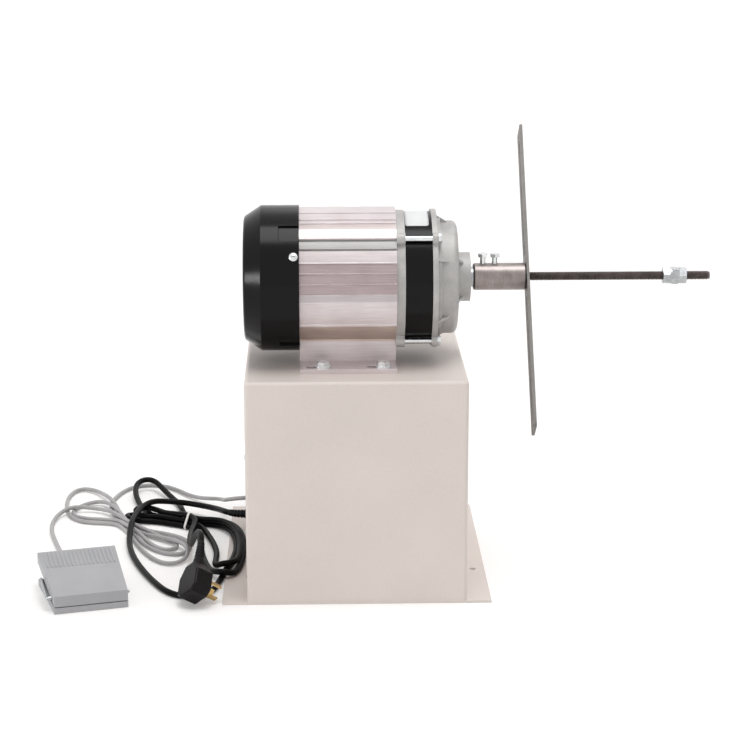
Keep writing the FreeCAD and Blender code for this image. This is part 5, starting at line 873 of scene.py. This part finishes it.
def strands_at_tie(centre, side):
    """Where the mains cord passes the tie, as (aside, up) from its middle."""
    found = []
    for a, b in zip(centre, centre[1:]):
        before, after = (a - TIE_CENTRE).dot(TIE_WAY), (b - TIE_CENTRE).dot(TIE_WAY)
        if before * after <= 0 and before != after and (a - TIE_CENTRE).length < HANK_R:
            at = a.lerp(b, before / (before - after)) - TIE_CENTRE
            found.append(Vector((at.dot(side), at.z)))
    return found


def drawn_round(strands, radius):
    """Points of a loop drawn tight round strands of a radius, at even angles from their middle."""
    rim = [strand + ray * radius for strand in strands for ray in rays(36)]
    hull = [rim[i] for i in convex_hull_2d(rim)]
    middle = sum(strands, Vector((0.0, 0.0))) / len(strands)
    loop = []
    for ray in rays(72):
        reach = 0.0
        for p, q in zip(hull, hull[1:] + hull[:1]):
            edge, off = q - p, p - middle
            cross = ray.cross(edge)
            if abs(cross) > 1e-9:
                far, share = off.cross(edge) / cross, off.cross(ray) / cross
                if far > 0 and -1e-6 <= share <= 1 + 1e-6:
                    reach = max(reach, far)
        loop.append(middle + ray * reach)
    return loop


def wire_tie(centre, cord_r):
    """A twist tie drawn tight round the strands of the mains hank, its ends twisted together."""
    half_width, half_thick, tail_half_width = 1.4, 0.35, 1.3
    sunk, proud, floor_z = 0.35, 0.55, 0.25 - TIE_CENTRE.z
    twists, parting, tail, droop, spread = 2.5, 0.72, 9.0, 5.0, 14.0
    side = TIE_WAY.cross(UP).normalized()
    strands = strands_at_tie(centre, side)
    loops = []
    for gap, lowest in ((-sunk, floor_z + 0.3), (proud, floor_z)):
        loops.append([TIE_CENTRE + side * spot.x + UP * max(spot.y, lowest)
                      for spot in drawn_round(strands, cord_r + gap)])
    inner, outer = loops
    across = TIE_WAY * half_width
    rings = [[a - across, b - across, b + across, a + across] for a, b in zip(inner, outer)]
    pieces = [swept("tie band", rings, True, endless=True)]
    root = max(outer, key=lambda at: at.y + 0.6 * at.z)
    toward = (root - TIE_CENTRE).normalized()
    for turn, curl, shift in ((0.0, 1.0, -0.45), (math.pi, -1.0, 0.45)):
        shares = [i / 32 for i in range(33)]
        line = [root + toward * 0.3 + (toward * tail * s - UP * droop * s * s)
                + TIE_WAY * curl * max(0.0, s - parting) * spread for s in shares]
        spins = [turn + min(s, parting) * math.tau * twists for s in shares]
        pieces.append(ribbon(line, spins, tail_half_width, half_thick, shift))
    object_of("twist_tie", joined("twist_tie", pieces), "frame", "cord_ties", "white_paper_tie",
              replaces=True)


# ---- Small pieces --------------------------------------------------------------------
def label_plate(left, right, first, last):
    """A thin unprinted label bent round the ring gear case, with rounded corners."""
    columns, rows, corner = 8, 24, 1.5
    points, faces = [], []
    for lift in (0.02, 0.22):
        for r in range(rows + 1):
            from_end = min(r, rows - r) / rows * math.radians(last - first) * RING_R
            pull = corner - math.sqrt(max(corner ** 2 - max(corner - from_end, 0.0) ** 2, 0.0))
            for c in range(columns + 1):
                x = (left + pull) + (right - left - 2 * pull) * c / columns
                points.append(polar(x, RING_R + lift, first + (last - first) * r / rows))
    row = columns + 1
    layer = (rows + 1) * row
    for a in (r * row + c for r in range(rows) for c in range(columns)):
        face = (a, a + 1, a + row + 1, a + row)
        faces += [face[::-1], tuple(i + layer for i in face)]
    rim = ([(0, c) for c in range(columns)] + [(r, columns) for r in range(rows)]
           + [(rows, c) for c in range(columns, 0, -1)] + [(r, 0) for r in range(rows, 0, -1)])
    rim = [r * row + c for r, c in rim]
    faces += [(a, b, b + layer, a + layer) for a, b in zip(rim, rim[1:] + rim[:1])]
    return mesh_of("ring_case_label", points, faces, True)


def panel_place(x, z, out):
    """A point in front of the control panel."""
    return Vector((x, PANEL_FACE_Y + out, z))


def on_dial(radius, degrees, out):
    """A point round the speed knob, seen from the control side; zero is upwards."""
    a = math.radians(degrees)
    return panel_place(KNOB_X - radius * math.sin(a), KNOB_Z + radius * math.cos(a), out)


def counter_digits(count):
    """Seven-segment noughts on the counter's window, read from the control side."""
    wide, tall, thick, pitch, clear, raise_by = 7.0, 13.0, 1.5, 12.0, 0.5, 0.15
    nought = (((-1, 1), (1, 1)), ((1, 1), (1, 0)), ((1, 0), (1, -1)), ((-1, -1), (1, -1)),
              ((-1, 0), (-1, -1)), ((-1, 1), (-1, 0)))
    low, high = corners("counter_window")
    centre_x, centre_z = (low[0] + high[0]) / 2, (low[2] + high[2]) / 2
    bars = []
    for i in range(count):
        middle = centre_x + ((count - 1) / 2 - i) * pitch
        for ends in nought:
            a, b = (Vector((middle - x * wide / 2, centre_z + z * tall / 2)) for x, z in ends)
            way = (b - a).normalized()
            a, b = a + way * clear, b - way * clear
            point, across = way * thick / 2, Vector((-way.y, way.x)) * thick / 2
            flat = [a, a + point + across, b - point + across, b, b - point - across, a + point - across]
            rings = [[Vector((p.x, high[1] + out, p.y)) for p in flat] for out in (0.0, raise_by)]
            bars.append(swept("segment", rings, False))
    return joined("counter_digits", bars)


def numeral(text, place, size):
    """A numeral printed on the panel, read from the control side."""
    data = bpy.data.curves.new("numeral", "FONT")
    data.body = text
    data.size = size * MM
    data.extrude = 0.06 * MM
    data.align_x = "CENTER"
    data.align_y = "CENTER"
    holder = linked("numeral", data)
    mesh = plain_copy(holder)
    bpy.data.objects.remove(holder)
    upright = Matrix(((-1, 0, 0, 0), (0, 0, 1, 0), (0, 1, 0, 0), (0, 0, 0, 1)))
    mesh.transform(Matrix.Translation(place * MM) @ upright)
    return mesh


# ---- Sizes and colours a user would change ---------------------------------------------
class WinderFinishes(bpy.types.PropertyGroup):
    """Colours of the main finishes."""
    case: bpy.props.StringProperty(name="Case", description="Powder coat of the case, sRGB hex",
                                   default="#E2D7D1")
    motor: bpy.props.StringProperty(name="Motor housing", description="Etched extrusion, sRGB hex",
                                    default="#E4DBDC")
    pedal: bpy.props.StringProperty(name="Pedal", description="Enamel of the foot pedal, sRGB hex",
                                    default="#B2B2B4")
    mains_cord: bpy.props.StringProperty(name="Mains cord", description="Sheath of the mains cord, sRGB hex",
                                         default="#0E0D0E")
    pedal_cord: bpy.props.StringProperty(name="Pedal cord", description="Sheath of the pedal cord, sRGB hex",
                                         default="#B6B4B5")


class WinderThread(bpy.types.PropertyGroup):
    """Sizes of the winding rod's thread."""
    pitch: bpy.props.FloatProperty(name="Pitch", description="Thread pitch in millimetres", default=1.5,
                                   min=0.5, max=3.0)
    depth: bpy.props.FloatProperty(name="Depth", description="Height of the thread in millimetres",
                                   default=0.92, min=0.2, max=2.0)
    steps: bpy.props.IntProperty(name="Steps", description="Facets in one turn", default=24, min=8, max=64)


class WinderCords(bpy.types.PropertyGroup):
    """Diameters of the two cords."""
    mains: bpy.props.FloatProperty(name="Mains cord", description="Diameter of the mains cord",
                                    default=0.007, unit="LENGTH")
    pedal: bpy.props.FloatProperty(name="Pedal cord", description="Diameter of the pedal cord",
                                    default=0.005, unit="LENGTH")


class WinderStage(bpy.types.PropertyGroup):
    """Floor and light."""
    floor_size: bpy.props.FloatProperty(name="Floor", description="Side of the floor", default=40.0,
                                        unit="LENGTH")
    floor_lift: bpy.props.FloatProperty(name="Floor lift", description="Own brightness of the floor as seen",
                                        default=0.14)
    room_light: bpy.props.FloatProperty(name="Room light", description="Strength of the surround as a light",
                                        default=0.58)
    key_power: bpy.props.FloatProperty(name="Overhead", description="Strength of the lamp above", default=1.3)
    side_power: bpy.props.FloatProperty(name="Side", description="Strength of the lamp at the left",
                                        default=0.75)
    fill_power: bpy.props.FloatProperty(name="Back", description="Strength of the lamp behind", default=0.3)


# ---- Operators -----------------------------------------------------------------------
ZINC = "bright_zinc_plate"


class WINDER_OT_stage(bpy.types.Operator):
    """Makes the floor, the light and the camera."""
    bl_idname = "winder.stage"
    bl_label = "Stage"

    def execute(self, context):
        stage = context.scene.winder_stage
        lay_floor(stage)
        light_room(stage)
        set_camera()
        context.scene.view_settings.view_transform = "Standard"
        return {"FINISHED"}


class WINDER_OT_finishes(bpy.types.Operator):
    """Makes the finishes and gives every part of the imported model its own."""
    bl_idname = "winder.finishes"
    bl_label = "Finishes"

    def execute(self, context):
        make_finishes(context.scene.winder_finishes)
        dressed = set()
        for name, nodes in WEARS.items():
            for node in nodes:
                for slot in NODES[node].material_slots:
                    slot.material = FINISHES[name]
                dressed.add(node)
        if dressed != set(NODES):
            raise RuntimeError("no finish for " + ", ".join(sorted(set(NODES) - dressed)))
        return {"FINISHED"}


class WINDER_OT_cords(bpy.types.Operator):
    """Lays the mains cord and the pedal cord with what is on them."""
    bl_idname = "winder.cords"
    bl_label = "Cords"

    def execute(self, context):
        cords = context.scene.winder_cords
        mains_r, pedal_r = cords.mains / MM / 2, cords.pedal / MM / 2
        mains_points, pedal_points = settle((MAINS_STRANDS, PEDAL_STRANDS), (mains_r, pedal_r))
        mains, centre = cord_line("mains_cord", mains_points, cords.mains, "black_pvc_sheath")
        at_case = strain_relief("case_strain_relief", centre, length=22.0, slot="power_gland")
        at_plug = strain_relief("plug_strain_relief", centre[::-1], length=20.0, slot="plug")
        wire_tie(centre, mains_r)
        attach(mains, "frame")
        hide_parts("power_cord", "power_hank")
        pedal, centre = cord_line("foot_pedal_cord", pedal_points, cords.pedal, "grey_pvc_sheath")
        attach(pedal, "frame")
        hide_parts("pedal_cord", "pedal_hank", "pedal_lead")
        return {"FINISHED"}


class WINDER_OT_thread(bpy.types.Operator):
    """Cuts the thread of the winding rod."""
    bl_idname = "winder.thread"
    bl_label = "Winding rod"

    def execute(self, context):
        thread = context.scene.winder_thread
        crest, start, tip = 5.0, 176.0, corners("winding_rod")[1][0]
        length = (tip - start - thread.pitch) // thread.pitch * thread.pitch
        mesh = grown(thread_tree(thread.steps), [((0, 0, 0), UP, 0)], "blackened_thread_steel",
                     start=tip - length - thread.pitch, length=length, pitch=thread.pitch,
                     root_radius=crest - thread.depth, crest_radius=crest)
        object_of("threaded_rod", mesh, "spindle", "winding_rod", replaces=True)
        return {"FINISHED"}


class WINDER_OT_bolts(bpy.types.Operator):
    """Sets the hexagon bolts of the motor feet, the gearbox and the sleeve."""
    bl_idname = "winder.bolts"
    bl_label = "Hexagon bolts"

    def execute(self, context):
        # A seat's last number turns its bolt, so that the heads don't all stand alike.
        tree = hexagon_tree()
        foot_top, case_under = 255.0, CASE_HIGH[2] - SHEET_T
        feet = [(x, y) for x in (-35.5, 29.5) for y in (-124.0, 10.0)]
        heads = grown(tree, [((x, y, foot_top), UP, 15 + x) for x, y in feet], ZINC, across_flats=13.0,
                      head_height=5.3, washer_radius=9.0, washer_thickness=1.6, shank_radius=4.0,
                      shank_length=17.0)
        nuts = grown(tree, [((x, y, case_under), -UP, 40 + x) for x, y in feet], ZINC, across_flats=13.0,
                     head_height=6.2, washer_radius=6.2, washer_thickness=0.3, shank_radius=3.9,
                     shank_length=1.0)
        object_of("foot_bolt_set", joined("foot_bolt_set", [heads, nuts]), "frame", "foot_bolts", ZINC,
                  replaces=True)
        cover_x, bolt_circle, sleeve_top = 89.0, 76.5, 362.0
        seats = [(polar(cover_x, bolt_circle, t), (1, 0, 0), t) for t in (46.0, 144.0, 216.0, 314.0)]
        ties = grown(tree, seats, ZINC, across_flats=10.0, head_height=3.6, washer_radius=4.8,
                     washer_thickness=0.4, shank_radius=3.0, shank_length=41.5)
        object_of("tie_bolt_set", ties, "frame", "tie_bolts", ZINC, replaces=True)
        clamps = grown(tree, [((x, AXIS_Y, sleeve_top), UP, x) for x in (141.5, 154.5)], ZINC,
                       across_flats=10.0, head_height=3.7, washer_radius=4.8, washer_thickness=0.3,
                       shank_radius=3.0, shank_length=12.0)
        object_of("clamp_screw_set", clamps, "spindle", "clamp_screws", ZINC, replaces=True)
        return {"FINISHED"}


class WINDER_OT_screws(bpy.types.Operator):
    """Sets the cross recess screws of the case and the fan cover."""
    bl_idname = "winder.screws"
    bl_label = "Cross recess screws"

    def execute(self, context):
        tree = cross_recess_tree()
        panel_x, lip_z, cover_x, cover_r = 110.0, 10.5, -66.5, 80.0
        seats = [((side * panel_x, PANEL_FACE_Y, z), (0, 1, 0), 17.0 * i)
                 for i, (side, z) in enumerate((s, z) for s in (-1, 1) for z in (lip_z, 125.25, 240.0))]
        seats += [((side * CASE_SIDE_X, y, lip_z), (side, 0, 0), 23.0 * i)
                  for i, (side, y) in enumerate((s, y) for s in (-1, 1) for y in (-110.0, 0.0, 110.0))]
        seats += [((-CASE_SIDE_X, y, z), (-1, 0, 0), 31.0 * i)
                  for i, (y, z) in enumerate((y, z) for y in (-120.0, 0.0) for z in (67.0, 153.0))]
        case = grown(tree, seats, ZINC, head_radius=3.9, head_height=2.6, dome_radius=6.0,
                     recess_reach=2.9, shank_radius=2.0, shank_length=8.0)
        object_of("case_screw_set", case, "frame", "case_screws", ZINC, replaces=True)
        seats = [(polar(cover_x, cover_r, t), outward(t), 30.0 + t) for t in (62.5, 182.5, 302.5)]
        cover = grown(tree, seats, ZINC, head_radius=4.7, head_height=3.0, dome_radius=7.6,
                      recess_reach=3.4, shank_radius=2.5, shank_length=12.0)
        object_of("cover_screw_set", cover, "frame", "cover_screws", ZINC, replaces=True)
        return {"FINISHED"}


class WINDER_OT_spring(bpy.types.Operator):
    """Makes the pedal's return spring from the imported coil, its doubled points merged."""
    bl_idname = "winder.spring"
    bl_label = "Pedal spring"

    def execute(self, context):
        coil = bmesh.new()
        coil.from_mesh(NODES["pedal_spring"].data)
        bmesh.ops.remove_doubles(coil, verts=coil.verts, dist=0.002 * MM)
        mesh = bpy.data.meshes.new("return_spring")
        coil.to_mesh(mesh)
        coil.free()
        spring = object_of("return_spring", mesh, "frame", "pedal_spring", "oil_blued_spring_steel",
                           replaces=True)
        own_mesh(spring)
        return {"FINISHED"}


class WINDER_OT_markings(bpy.types.Operator):
    """Adds the blank label, the housing's ribs, the counter's figures and the speed knob's marks."""
    bl_idname = "winder.markings"
    bl_label = "Markings"

    def execute(self, context):
        label = label_plate(left=54.2, right=80.0, first=-16.0, last=29.0)
        object_of("ring_case_label", label, "frame", "ring_gear_case", "blank_white_label")
        tree, housing, ink = bars_tree(), "etched_aluminium_extrusion", "panel_ink"
        rib_x, rib_proud = -8.0, 0.1
        ribs = grown(tree, [(polar(rib_x, radius + rib_proud, side * t), outward(side * t), 0.0)
                            for radius, t in ((77.3, 14.0), (75.6, 28.0)) for side in (-1, 1)],
                     housing, length=104.4, width=1.1, thickness=0.9)
        object_of("housing_ribs", ribs, "frame", "motor_body", housing)
        object_of("counter_digits", counter_digits(4), "frame", "counter_window", "lit_red_segments")
        printed, mark_r, number_r = 0.06, 23.0, 28.5
        turns = [-135 + 27 * i for i in range(11)]
        seats = [(on_dial(mark_r, turn, printed), (0, 1, 0), 90.0 - turn) for turn in turns]
        marks = [grown(tree, seats, ink, length=3.2, width=0.7, thickness=0.12)]
        marks += [numeral(str(i), on_dial(number_r, turn, printed), 4.6) for i, turn in enumerate(turns)]
        object_of("dial_marks", joined("dial_marks", marks), "frame", "control_panel", ink)
        place = (KNOB_X, corners("speed_knob")[1][1] + 0.05, KNOB_Z + 8.5)
        pointer = grown(tree, [(place, (0, 1, 0), 90.0)], "white_filled_mark", length=12.0, width=1.2,
                        thickness=0.14)
        object_of("knob_pointer", pointer, "speed_knob_body", "speed_knob", "white_filled_mark")
        return {"FINISHED"}


class WINDER_PT_panel(bpy.types.Panel):
    """Lists the steps that dress the winding machine."""
    bl_idname = "WINDER_PT_panel"
    bl_label = "Coil winder"
    bl_space_type = "VIEW_3D"
    bl_region_type = "UI"
    bl_category = "Winder"

    def draw(self, context):
        for operator in OPERATORS:
            self.layout.operator(operator.bl_idname)
        for group, place in GROUPS.items():
            for name in group.__annotations__:
                self.layout.prop(getattr(context.scene, place), name)


GROUPS = {WinderFinishes: "winder_finishes", WinderThread: "winder_thread", WinderCords: "winder_cords",
          WinderStage: "winder_stage"}
OPERATORS = (WINDER_OT_stage, WINDER_OT_finishes, WINDER_OT_cords, WINDER_OT_thread, WINDER_OT_bolts,
             WINDER_OT_screws, WINDER_OT_spring, WINDER_OT_markings)


def register():
    for kind in (*GROUPS, *OPERATORS, WINDER_PT_panel):
        bpy.utils.register_class(kind)
    for kind, name in GROUPS.items():
        setattr(bpy.types.Scene, name, bpy.props.PointerProperty(type=kind))


def unregister():
    for name in GROUPS.values():
        delattr(bpy.types.Scene, name)
    for kind in (WINDER_PT_panel, *OPERATORS[::-1], *GROUPS):
        bpy.utils.unregister_class(kind)


def main():
    register()
    bpy.ops.winder.stage()
    bpy.ops.winder.finishes()
    bpy.ops.winder.cords()
    bpy.ops.winder.thread()
    bpy.ops.winder.bolts()
    bpy.ops.winder.screws()
    bpy.ops.winder.spring()
    bpy.ops.winder.markings()


if __name__ == "__main__":
    main()
